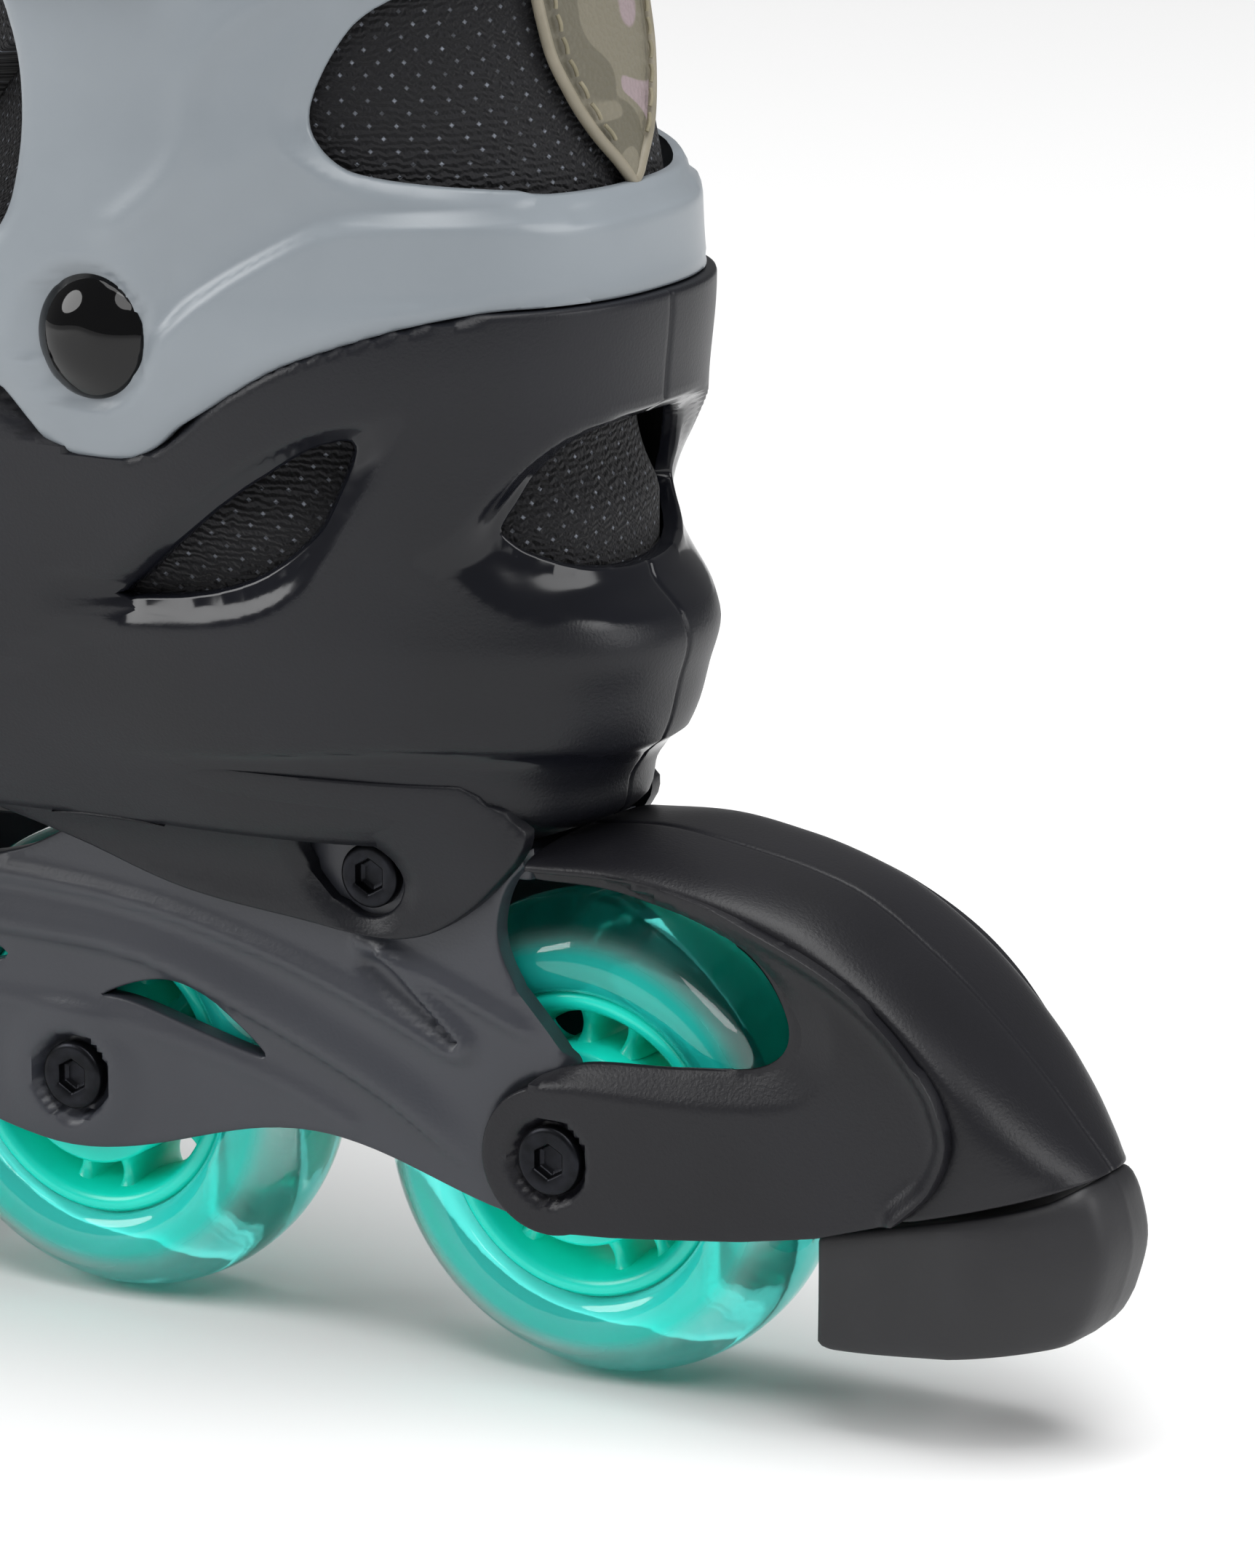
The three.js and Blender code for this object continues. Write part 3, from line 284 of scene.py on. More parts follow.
# %% [markdown]
# ## Cloth, webbing and leather
# The soft boot is faced with black spacer mesh: a knit of fine zigzag loops with a staggered lattice
# of small open diamonds. The diamonds are real holes in the bump, and their base colour is lifted to
# pale grey, more in some patches than others, as painted glints. Its pieces carry a UV map measured in
# millimetres along the surface, so the lattice keeps its size round every curve. The straps are woven
# nylon, and the tab is printed leatherette, edged with a paler piping and sewn with khaki thread.

# %% Cloth helpers
def millimetre_uv(tree, name="cloth_mm"):
    """The piece's own UV map, which holds millimetres along and across the cloth."""
    return add(tree, "UVMap", uv_map=name).outputs["UV"]


def lattice(tree, uv, pitch_u, pitch_v, shift=(0.0, 0.0)):
    """Offset (u, v) in mm from the nearest point of a grid of that pitch: fract(p / pitch) - 1/2."""
    scaled = add(tree, "VectorMath", {0: uv, 1: (1 / pitch_u, 1 / pitch_v, 0)},
                 operation="MULTIPLY").outputs[0]
    moved = add(tree, "VectorMath", {0: scaled, 1: (*shift, 0)}, operation="ADD").outputs[0]
    cell = add(tree, "VectorMath", {0: moved}, operation="FRACTION").outputs[0]
    centred = add(tree, "VectorMath", {0: cell, 1: (0.5, 0.5, 0)}, operation="SUBTRACT").outputs[0]
    return add(tree, "VectorMath", {0: centred, 1: (pitch_u, pitch_v, 0)}, operation="MULTIPLY").outputs[0]


def diamond(tree, offset, half_u, half_v):
    """1 inside |u| / half_u + |v| / half_v < 1, with an edge a third of the diamond wide."""
    size = add(tree, "VectorMath", {0: offset}, operation="ABSOLUTE").outputs[0]
    share = add(tree, "VectorMath", {0: size, 1: (1 / half_u, 1 / half_v, 0)},
                operation="MULTIPLY").outputs[0]
    parts = add(tree, "SeparateXYZ", {0: share})
    total = add(tree, "Math", {0: parts.outputs[0], 1: parts.outputs[1]}, operation="ADD").outputs[0]
    return add(tree, "MapRange", {"Value": total, 1: 1.0, 2: 0.6}).outputs[0]


# %% Spacer mesh
mesh_cloth, tree, shader = finish_named("knitted_spacer_mesh", "#08080b", 0.85)
shader.inputs["Sheen Weight"].default_value = 0.06
shader.inputs["Sheen Roughness"].default_value = 0.4
uv = millimetre_uv(tree)
eyes_a = diamond(tree, lattice(tree, uv, 4.6, 3.4), 0.55, 0.42)
eyes_b = diamond(tree, lattice(tree, uv, 4.6, 3.4, (0.5, 0.5)), 0.55, 0.42)
eyes = add(tree, "Math", {0: eyes_a, 1: eyes_b}, operation="MAXIMUM").outputs[0]
# Painted glints: noise sets how far each open diamond's base colour is lifted from near black to pale grey.
painted_glints = add(tree, "TexNoise", {"Vector": uv, "Scale": 0.45, "Detail": 1.0},
             noise_dimensions="2D").outputs["Fac"]
painted_glints = add(tree, "MapRange", {"Value": painted_glints, 1: 0.35, 2: 0.65, 3: 0.25, 4: 1.0}).outputs[0]
painted_glints = add(tree, "Math", {0: eyes, 1: painted_glints}, operation="MULTIPLY").outputs[0]
tint = add(tree, "Mix", {"Factor": painted_glints, "A": linear("#0b0b10"), "B": linear("#7d828c")},
           data_type="RGBA")
tree.links.new(tint.outputs["Result"], shader.inputs["Base Color"])
loops = add(tree, "TexWave", {"Vector": uv, "Scale": 0.32, "Distortion": 6.0, "Detail": 2.0,
                              "Detail Scale": 1.6},
            wave_type="BANDS", bands_direction="Y")
knit = add(tree, "Math", {0: loops.outputs["Fac"], 1: eyes, 2: 0.0}, operation="SUBTRACT").outputs[0]
bump = add(tree, "Bump", {"Height": knit, "Distance": 0.0007, "Strength": 0.9})
tree.links.new(bump.outputs["Normal"], shader.inputs["Normal"])

# %% Webbing and lace
webbing, tree, shader = finish_named("woven_nylon_webbing", "#17181b", 0.7)
shader.inputs["Sheen Weight"].default_value = 0.3
uv = millimetre_uv(tree)
ribs = add(tree, "TexWave", {"Vector": uv, "Scale": 0.2, "Distortion": 1.5, "Detail": 2.0},
           bands_direction="X")
picks = add(tree, "TexWave", {"Vector": uv, "Scale": 0.45, "Distortion": 0.6}, bands_direction="Y")
weave = add(tree, "Math", {0: ribs.outputs["Fac"], 1: picks.outputs["Fac"]},
            operation="MULTIPLY").outputs[0]
shade = add(tree, "Mix", {"Factor": weave, "A": linear("#0e0f12"), "B": linear("#26272c")},
            data_type="RGBA")
tree.links.new(shade.outputs["Result"], shader.inputs["Base Color"])
bump = add(tree, "Bump", {"Height": weave, "Distance": 0.0003, "Strength": 0.8})
tree.links.new(bump.outputs["Normal"], shader.inputs["Normal"])

# %% Printed leatherette, piping and thread
tab_leather, tree, shader = finish_named("printed_leatherette", "#86816f", 0.55)
uv = millimetre_uv(tree)
blobs = add(tree, "TexNoise", {"Vector": uv, "Scale": 0.055, "Detail": 1.0, "Distortion": 0.8},
            noise_dimensions="2D")
print_1 = add(tree, "MapRange", {"Value": blobs.outputs["Fac"], 1: 0.50, 2: 0.515}).outputs[0]
print_2 = add(tree, "MapRange", {"Value": blobs.outputs["Fac"], 1: 0.60, 2: 0.612}).outputs[0]
khaki = add(tree, "Mix", {"Factor": print_1, "A": linear("#605c4e"), "B": linear("#757061")},
            data_type="RGBA")
camo = add(tree, "Mix", {"Factor": print_2, "A": khaki.outputs["Result"], "B": linear("#938487")},
           data_type="RGBA")
tree.links.new(camo.outputs["Result"], shader.inputs["Base Color"])
pebbles = add(tree, "TexVoronoi", {"Vector": uv, "Scale": 1.1}, voronoi_dimensions="2D").outputs["Distance"]
bump = add(tree, "Bump", {"Height": pebbles, "Distance": 0.0002, "Strength": 0.7})
tree.links.new(bump.outputs["Normal"], shader.inputs["Normal"])
piping = plain_moulding("edge_painted_piping", "#7d7767", "#8b8474", 0.5, 0.6, 0.03, 6)
thread = plain_moulding("twisted_khaki_thread", "#7a745f", "#8b846f", 0.75, 0.3, 0.05, 3)


# %% [markdown]
# ## Helpers for shapes
# A shape is worked out as arrays on a grid. Points that fall on each other are welded, so poles and
# seams close, and the faces are turned outwards by the sign of the volume they enclose.

# %% Grid faces, welding and pieces
def grid_quads(rows, columns, close_rows=False, close_columns=False):
    """Indices of the quads between neighbouring rows and columns of a grid, in row order."""
    r = np.arange(rows if close_rows else rows - 1)
    c = np.arange(columns if close_columns else columns - 1)
    r, c = np.meshgrid(r, c, indexing="ij")
    r1, c1 = (r + 1) % rows, (c + 1) % columns
    return np.stack([r * columns + c, r * columns + c1, r1 * columns + c1, r1 * columns + c],
                    -1).reshape(-1, 4)


def through(knots):
    """A smooth function through (position, value) knots that never overshoots them."""
    x, v = np.array(knots, float).T
    slope = np.diff(v) / np.diff(x)
    product = slope[:-1] * slope[1:]
    mean = np.where(product > 0, 2 * product / np.where(product > 0, slope[:-1] + slope[1:], 1), 0)
    tangent = np.concatenate([[slope[0]], mean, [slope[-1]]])

    def at(p):
        p = np.clip(p, x[0], x[-1])
        i = np.clip(np.searchsorted(x, p, side="right") - 1, 0, len(x) - 2)
        h = x[i + 1] - x[i]
        t = (p - x[i]) / h
        rise = (1 + 2 * t) * (1 - t) ** 2 * v[i] + t * t * (3 - 2 * t) * v[i + 1]
        return rise + h * t * (1 - t) ** 2 * tangent[i] - h * t * t * (1 - t) * tangent[i + 1]
    return at


def smoothstep(x, start, end):
    """0 before start, 1 after end, 3t^2 - 2t^3 between them."""
    t = np.clip((np.asarray(x, float) - start) / (end - start), 0, 1)
    return t * t * (3 - 2 * t)


def spline(points, count, closed=False):
    """Catmull-Rom curve through points of any dimension, resampled to count even steps of length."""
    p = np.array(points, float)
    ends = (p[-1:], p[:2]) if closed else (2 * p[:1] - p[1:2], 2 * p[-1:] - p[-2:-1])
    q = np.concatenate([ends[0], p, ends[1]])
    t = np.linspace(0, 1, 24, endpoint=False)[None, :, None]
    a, b, c, d = (q[k:len(q) - 3 + k][:, None] for k in range(4))
    curve = 0.5 * (2 * b + (c - a) * t + (2 * a - 5 * b + 4 * c - d) * t ** 2 + (3 * b - a - 3 * c + d)
                   * t ** 3)
    curve = curve.reshape(-1, p.shape[1])
    curve = np.concatenate([curve, p[:1] if closed else p[-1:]])
    length = np.concatenate([[0], np.cumsum(np.linalg.norm(np.diff(curve, axis=0), axis=1))])
    even = np.linspace(0, length[-1], count, endpoint=not closed)
    return np.column_stack([np.interp(even, length, curve[:, k]) for k in range(p.shape[1])])


def distance_to(px, pz, line, closed=False):
    """Distance in a plane from each point to a polyline."""
    line = np.asarray(line, float)
    ends = np.roll(line, -1, axis=0) if closed else line[1:]
    best = np.full(np.shape(px), np.inf)
    for (ax, az), (bx, bz) in zip(line, ends):
        dx, dz = bx - ax, bz - az
        t = np.clip(((px - ax) * dx + (pz - az) * dz) / max(dx * dx + dz * dz, 1e-12), 0, 1)
        best = np.minimum(best, np.hypot(px - ax - t * dx, pz - az - t * dz))
    return best


def inside_by(px, pz, outline):
    """Signed distance to a closed outline: positive inside it, by the even-odd rule."""
    outline = np.asarray(outline, float)
    odd = np.zeros(np.shape(px), bool)
    for (ax, az), (bx, bz) in zip(outline, np.roll(outline, -1, axis=0)):
        crosses = (az > pz) != (bz > pz)
        with np.errstate(divide="ignore", invalid="ignore"):
            odd ^= crosses & (px < ax + (pz - az) * (bx - ax) / (bz - az))
    return np.where(odd, 1, -1) * distance_to(px, pz, outline, closed=True)


def above_line(px, pz, line):
    """Signed distance to an open line that runs along x: positive above it."""
    line = np.asarray(line, float)
    order = np.argsort(line[:, 0])
    height = np.interp(px, line[order, 0], line[order, 1])
    return np.where(pz > height, 1, -1) * distance_to(px, pz, line)


def welded(points, faces, layers):
    """Points closer than a thousandth of a millimetre become one; faces lose repeated corners."""
    keys = np.round(points, 3)
    _, first, where = np.unique(keys, axis=0, return_index=True, return_inverse=True)
    where = where.reshape(-1)
    quads = where[faces]
    out, kept = [], []
    for number, quad in enumerate(quads.tolist()):
        ring = [p for i, p in enumerate(quad) if p != quad[i - 1]]
        if len(set(ring)) >= 3 and len(set(ring)) == len(ring):
            out.append(ring)
            kept.append(number)
    return points[first], out, {key: value[first] for key, value in layers.items()}


def piece(name, patches, material, body, *nodes, wall=0.0, sharp=62):
    """Builds one object in millimetres from (points, quads, {layer: values}) patches.

    nodes are the CAD nodes it stands for, wall is the thickness that Solidify adds inwards, and an
    edge that turns by more than sharp degrees is drawn sharp."""
    points, faces, layers, start = [], [], {}, 0
    names = sorted({key for patch in patches for key in patch[2]})
    for grid, quads, data in patches:
        grid = np.asarray(grid, float).reshape(-1, 3)
        points.append(grid)
        faces.append(np.asarray(quads) + start)
        for key in names:
            width = 2 if key == "cloth_mm" else 1
            value = np.asarray(data.get(key, np.zeros((len(grid), width))), float).reshape(len(grid), width)
            layers.setdefault(key, []).append(value)
        start += len(grid)
    points, faces, layers = welded(np.concatenate(points), np.concatenate(faces),
                                   {key: np.concatenate(value) for key, value in layers.items()})
    used = np.unique(np.concatenate([np.array(f) for f in faces]))
    renumber = np.zeros(len(points), int)
    renumber[used] = np.arange(len(used))
    mesh = bpy.data.meshes.new(name)
    mesh.from_pydata(in_frame(points[used]).tolist(), [], [renumber[f].tolist() for f in faces])
    for key, value in layers.items():
        value = value[used]
        if key == "cloth_mm":
            corner = np.empty(len(mesh.loops), int)
            mesh.loops.foreach_get("vertex_index", corner)
            mesh.uv_layers.new(name=key).data.foreach_set("uv", value[corner].ravel())
        else:
            mesh.attributes.new(key, "FLOAT", "POINT").data.foreach_set("value", value[:, 0])
    mesh.shade_smooth()
    mesh.set_sharp_from_angle(angle=math.radians(sharp))
    mesh.update()
    return dressed(name, mesh, material, body, *nodes, wall=wall)


def dressed(name, mesh, material, body, *nodes, wall=0.0):
    """Links a mesh as an object, gives it its finish and body, and hides the nodes it stands for."""
    obj = bpy.data.objects.new(name, mesh)
    bpy.context.collection.objects.link(obj)
    mesh.materials.append(material)
    if wall:
        solid = obj.modifiers.new("wall", "SOLIDIFY")
        solid.thickness = wall / 1000
        solid.offset = -1
        solid.use_even_offset = False
    if body:
        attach(obj, body)
    if nodes:
        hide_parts(*nodes)
    return obj


def turned(profile, x, z, steps=96):
    """Revolves a closed profile of (radius, y) about the line through (x, z) along y.

    Point = (x + r sin a, y, z + r cos a) for each angle a."""
    r, y = np.array(profile, float).T
    angle = np.linspace(0, 2 * np.pi, steps, endpoint=False)[:, None]
    grid = np.stack([x + r * np.sin(angle), y + 0 * angle, z + r * np.cos(angle)], -1)
    return grid, grid_quads(steps, len(r), True, False)[:, ::-1], {}


def outward(patch):
    """Turns a closed patch's faces out: the signed volume, sum of p0 . (p1 x p2) / 6, is positive."""
    grid, quads, data = patch
    p = np.asarray(grid, float).reshape(-1, 3)
    p = p - p.mean(axis=0)
    a, b, c, d = (p[quads[:, k]] for k in range(4))
    volume = np.einsum("ij,ij->i", a, np.cross(b, c) + np.cross(c, d)).sum()
    return (grid, quads[:, ::-1] if volume < 0 else quads, data)


# %% [markdown]
# ## Wheels
# Each wheel is a clear tyre on a teal hub. A tyre's section is a pointed bullet, so it is a profile
# turned about the axle. The hub's rim carries a ring of lugs that lock into the urethane and show
# through it, and its core is held by five pairs of spokes, which swell into fillets at both ends.

# %% Tyre
hub_radius = 22.0


def tyre(x):
    """The bullet's half section is a curve from the hub's seat to the tread, mirrored in y. The layer
    clear rises from 0 at radius 28 to 1 at radius 32, where the urethane carries no tint."""
    seat = hub_radius + 0.3
    side = np.array([(seat, 10.4), (seat + 1.2, 11.3), (seat + 3.4, 11.9), (28.0, 11.6), (31.0, 9.8),
                     (33.3, 6.9), (34.6, 3.6), (35.0, 0.0)])
    arc = spline(side, 18)
    profile = np.concatenate([arc * (1, -1), arc[::-1][1:]])
    profile = np.concatenate([profile, profile[:1]])
    grid, quads, _ = outward(turned(profile, x, wheel_radius, 112))
    return grid, quads, {"clear": np.broadcast_to(smoothstep(profile[:, 0], 28.0, 32.0), grid.shape[:2])}


# %% Hub
def hub_rim(x):
    """The rim's outer radius drops by the lugs' height in windows round the wheel.

    r = rim - 1.1 * step(sin(15 a)) on the outer face, so lugs and pockets alternate."""
    steps = 240
    profile = np.array([(19.4, -9.2), (20.1, -10.0), (21.4, -10.2), (22.0, -9.6), (22.0, -7.4),
                        (22.0, -6.9),
                        (22.0, 6.9), (22.0, 7.4), (22.0, 9.6), (21.4, 10.2), (20.1, 10.0), (19.4, 9.2),
                        (18.3, 5.0), (17.8, 0.0), (18.3, -5.0), (19.4, -9.2)])
    grid, quads, data = turned(profile, x, wheel_radius, steps)
    angle = np.arange(steps) * 2 * np.pi / steps
    pocket = 1.3 * (np.abs(((angle * 10 / np.pi) % 2) - 1) < 0.62)
    lugs = np.array([0, 0, 0, 0, 0, 1, 1, 0, 0, 0, 0, 0, 0, 0, 0, 0])
    drop = pocket[:, None] * lugs
    grid[..., 0] -= drop * np.sin(angle)[:, None]
    grid[..., 2] -= drop * np.cos(angle)[:, None]
    return outward((grid, quads, data))


def hub_core(x):
    """A tube round the bearings with an inner shoulder between them, as one turned profile."""
    bore, outer, half = 11.5, 14.3, 11.75
    profile = [(bore, -half), (outer - 0.6, -half), (outer, -half + 0.7), (outer, half - 0.7),
               (outer - 0.6, half),
               (bore, half), (bore, 4.5), (bore - 1.6, 4.45), (bore - 1.6, -4.45), (bore, -4.5),
               (bore, -half)]
    return outward(turned(profile, x, wheel_radius, 72))


def spoke(x, angle, side):
    """A plate from core to rim: half thickness = 1.1 + 1.5 t^4 + 0.9 (1 - t)^6 and depth narrows to
    the middle, for t from 0 at the core to 1 at the rim; v runs round its rounded section."""
    t = np.linspace(0, 1, 13)[:, None]
    v = np.linspace(0, 2 * np.pi, 20, endpoint=False)
    thick = 1.1 + 1.5 * t ** 4 + 0.9 * (1 - t) ** 6
    deep = 7.6 - 0.9 * np.sin(np.pi * t)
    c, s = np.cos(v), np.sin(v)
    across = thick * np.sign(c) * np.abs(c) ** 0.5 + side * (3.2 + 0.8 * t)
    along = 13.6 + (19.4 - 13.6) * t + 0 * c
    depth = deep * np.sign(s) * np.abs(s) ** 0.5
    grid = np.stack([x + along * np.sin(angle) + across * np.cos(angle), depth + 0 * along,
                     wheel_radius + along * np.cos(angle) - across * np.sin(angle)], -1)
    return outward((grid, grid_quads(13, 20, False, True), {}))


for number, x in axles.items():
    body = f"wheel_{number}"
    piece(f"urethane_tyre_{number}", [tyre(x)], tyre_urethane, body, f"tyre_{number}")
    start = 0.35 + 0.5 * number
    spokes = [spoke(x, start + k * 2 * np.pi / 5, side) for k in range(5) for side in (-1, 1)]
    piece(f"spoked_hub_{number}", [hub_rim(x), hub_core(x), *spokes], hub_plastic, body, f"hub_{number}")
print("wheels at x =", [round(x, 1) for x in axles.values()])

# %% [markdown]
# ## Bearings and bolts
# A bearing shows its two ground races with a recessed shield between them. A bolt head is turned with
# a small chamfer, and its hexagonal socket is pressed in: the same grid of angle and step makes both,
# with the socket's radius following a hexagon.

# %% Bearings
def bearing(x, side):
    """Two races of radius 4.1 to 10.9 with a shield sunk 0.45 between them, as one turned profile."""
    face, back = side * 11.6, side * 4.9
    profile = [(4.1, back), (10.9, back), (10.9, face - side * 0.4), (10.6, face), (9.7, face),
               (9.5, face - side * 0.45),
               (6.4, face - side * 0.45), (6.2, face), (4.4, face), (4.1, face - side * 0.3), (4.1, back)]
    return outward(turned(profile, x, wheel_radius, 64))


for number, x in axles.items():
    for word, side in (("left", 1), ("right", -1)):
        node = f"bearing_{number}_{word}"
        piece(f"ball_{node}", [bearing(x, side)], bright_steel, f"wheel_{number}", node)


# %% Socket bolts
def bolt_head(x, z, y0, y1, radius=5.0, key=2.15, depth=1.5):
    """A head from y0 to y1, facing away from y0, with a hexagonal socket.

    Inside the socket r = key / cos(a mod 60 deg - 30 deg), so its walls are flat."""
    out = np.sign(y1 - y0)
    steps = 72
    angle = np.linspace(0, 2 * np.pi, steps, endpoint=False)[:, None]
    hexagon = key / np.cos((angle % (np.pi / 3)) - np.pi / 6)
    rings = [(0.0, y0), (radius, y0), (radius, y1 - out * 0.55), (radius - 0.2, y1 - out * 0.2),
             (radius - 0.7, y1 - out * 0.02), (radius - 0.9, y1)]
    columns = [(r + 0 * angle, y) for r, y in rings]
    columns += [(hexagon + 0.42, y1), (hexagon + 0.1, y1 - out * 0.18), (hexagon, y1 - out * 0.4),
                (hexagon, y1 - out * depth), (hexagon * 0.85, y1 - out * (depth + 0.25)),
                (0 * angle, y1 - out * (depth + 0.5))]
    r = np.concatenate([c[0] for c in columns], axis=1)
    y = np.concatenate([c[1] + 0 * angle for c in columns], axis=1)
    grid = np.stack([x + r * np.sin(angle), y, z + r * np.cos(angle)], -1)
    return outward((grid, grid_quads(steps, r.shape[1], True, False), {}))


def shank(x, z, y0, y1, radius, steps=40):
    """A plain rod along y, closed at both ends on its axis."""
    return outward(turned([(0, y0), (radius, y0), (radius, y1), (0, y1)], x, z, steps))


for number, x in axles.items():
    seat = 17.4 if number == 4 else 14.5
    piece(f"axle_socket_bolt_{number}", [bolt_head(x, wheel_radius, seat, seat + 2),
                                         shank(x, wheel_radius, -10.8, seat + 0.2, 3.75)],
          black_oxide, "chassis", f"axle_bolt_{number}")
    piece(f"axle_socket_screw_{number}", [bolt_head(x, wheel_radius, -seat, -seat - 2),
                                          shank(x, wheel_radius, -seat, 3, 2.4)],
          black_oxide, "chassis", f"axle_screw_{number}")
rear_mount = 29.5
mounts = {"rear": rear_mount, "front": 2 * middle_x - rear_mount}
mount_z = 72.0
skirt_face = 19.4
rail_face = 16.0
for word, x in mounts.items():
    piece(f"mount_socket_bolt_{word}", [bolt_head(x, mount_z, 16.5, 18.5, 4.6),
                                        shank(x, mount_z, -12.8, 16.7, 3)],
          black_oxide, "chassis", f"mount_bolt_{word}")
    piece(f"mount_flange_nut_{word}", [bolt_head(x, mount_z, -17.4, -19.5, 3.6),
                                       bolt_head(x, mount_z, -16.5, -17.5, 4.6, 3.0, 0.2),
          shank(x, mount_z, -16.5, -13.1, 2.8)], black_oxide, "chassis", f"mount_nut_{word}")
print("bolts done")

# %% [markdown]
# ## The boot's form
# One form carries the whole boot. At each height it is a closed ring: a blunt superellipse round the
# heel and a longer one to the toe, with every size a smooth function of height. A point is given by
# w, from 0 at the middle of the heel through 1 beside the ankle to 2 at the toe, negative on the
# outer side, by its height z, and by how far inside the outer face it lies.

# %% Form of the boot
heel_x = through([(77.5, 8), (82, -1.5), (87, -4), (91, -6.7), (96, -8.9), (101, -10.1), (107, -11.6),
                  (112, -10),
                  (117, -8.8), (140, -7.7), (155, -8.7), (158, -6.8), (170, -6), (185, -3), (200, 0),
                  (222, 3), (252, 3)])
front_x = through([(77.5, 262), (82, 267), (90, 270), (100, 270), (108, 266), (114, 258), (119, 245),
                   (124, 230),
                   (130, 213), (138, 194), (146, 174), (154, 155), (162, 138), (170, 123), (180, 111),
                   (190, 105),
                   (200, 101), (222, 99), (252, 104)])
ankle_half = through([(77.5, 26), (82, 29), (88, 32), (96, 35), (107, 37.5), (118, 39.5), (132, 42.5),
                      (150, 45.3),
                      (160, 44.8), (170, 44), (185, 43), (200, 43), (222, 44), (252, 46)])
ball_half = through([(77.5, 36), (82, 42), (90, 47), (100, 48.5), (108, 47.5), (114, 46), (124, 43.5),
                     (138, 43),
                     (154, 45.2), (170, 44), (252, 46)])
middle = through([(155, 57.8), (200, 50), (252, 49)])
heel_power, toe_power, toe_shift = 2.4, 2.5, 6.0


def boot(w, z, inset=0.0):
    """Heel part: x = middle - (middle - heel) cos(a)^(2/2.4), y = half sin(a)^(2/2.4), a = |w| 90 deg.
    Toe part: t = sin(a)^(2/2.5), x = middle + (front - middle) t, y = width cos(a)^(2/2.5), where
    a = (|w| - 1) 90 deg."""
    w, z, inset = np.broadcast_arrays(np.asarray(w, float), np.asarray(z, float), np.asarray(inset, float))
    height = z + inset * 0.7 * smoothstep(z, 100, 115)
    heel, centre, front = heel_x(height) + inset, middle(height), front_x(height) - inset
    half, ball = ankle_half(height) - inset, ball_half(height) - inset
    a = np.clip(np.abs(w), 0, 1) * np.pi / 2
    b = np.clip(np.abs(w) - 1, 0, 1) * np.pi / 2
    t = np.sin(b) ** (2 / toe_power)
    x = np.where(np.abs(w) <= 1, centre - (centre - heel) * np.cos(a).clip(0) ** (2 / heel_power),
                 centre + (front - centre) * t)
    wide = half + (ball - half) * smoothstep(t, 0, 0.6)
    y = np.where(np.abs(w) <= 1, half * np.sin(a) ** (2 / heel_power),
                 wide * np.cos(b).clip(0) ** (2 / toe_power))
    lean = toe_shift * t * t * (1 - smoothstep(z, 100, 160)) * (np.abs(w) > 1)
    return np.stack([x, np.sign(w) * y + lean, z], -1)


ring_w = np.linspace(0, 1, 401)


def around(w, z):
    """Millimetres round the heel from its middle line to w, at a height where the ring is widest."""
    ring = boot(ring_w, 130.0)
    length = np.concatenate([[0], np.cumsum(np.linalg.norm(np.diff(ring, axis=0), axis=1))])
    return np.sign(w) * (np.interp(np.abs(w).clip(0, 1), ring_w, length) + (np.abs(w) - 1).clip(0) * 220)


def w_steps(fine, coarse, end=2.0):
    """Values of w from -end to end: fine steps round the heel, coarser ones towards the toe."""
    heel = np.linspace(0, 1.12, fine)
    toe = 1.12 + (end - 1.12) * np.linspace(0, 1, coarse)[1:]
    right = np.concatenate([heel, toe])
    return np.concatenate([-right[::-1][:-1], right])


def trimmed(w, z, surface, keep, plan=None):
    """Cuts a surface on a (w, z) grid along the line where keep(points) is 0, on plan's points if given.

    A corner closer to the line than 0.55 of its cell is slid onto it, by Newton's step along the
    grid: move = -d grad d / |grad d|^2. Quads with a corner left outside lose that corner."""
    row, column = np.meshgrid(np.arange(len(z), dtype=float), np.arange(len(w), dtype=float), indexing="ij")

    def at(shape, row, column):
        return shape(np.interp(column, np.arange(len(w)), w), np.interp(row, np.arange(len(z)), z))
    plan, slid = plan or surface, None
    for step in range(3):
        d = keep(at(plan, row, column))
        gr, gc = np.gradient(d)
        slope = np.maximum(np.hypot(gr, gc), 1e-9)
        near = np.abs(d) < 0.56 * np.maximum(np.abs(gr), np.abs(gc)) + 1e-6 if slid is None else slid
        slid = near
        move = np.where(near, -d / slope ** 2, 0)
        row = np.clip(row + np.clip(move * gr, -0.6, 0.6), 0, len(z) - 1)
        column = np.clip(column + np.clip(move * gc, -0.6, 0.6), 0, len(w) - 1)
    points = at(surface, row, column)
    d = np.where(slid, 0, keep(at(plan, row, column)))
    flat = d.reshape(-1)
    quads = grid_quads(len(z), len(w))[:, ::-1]
    outside = flat[quads] < 0
    whole = quads[(~outside).all(axis=1) & ~(flat[quads] == 0).all(axis=1)]
    single = outside.sum(axis=1) == 1
    part = quads[single]
    gone = outside[single].argmax(axis=1)
    part[np.arange(len(part)), gone] = part[np.arange(len(part)), (gone + 1) % 4]
    part = part[(flat[part] > 0).any(axis=1)]
    places = np.interp(column, np.arange(len(w)), w), np.interp(row, np.arange(len(z)), z)
    return points, np.concatenate([whole, part]), places


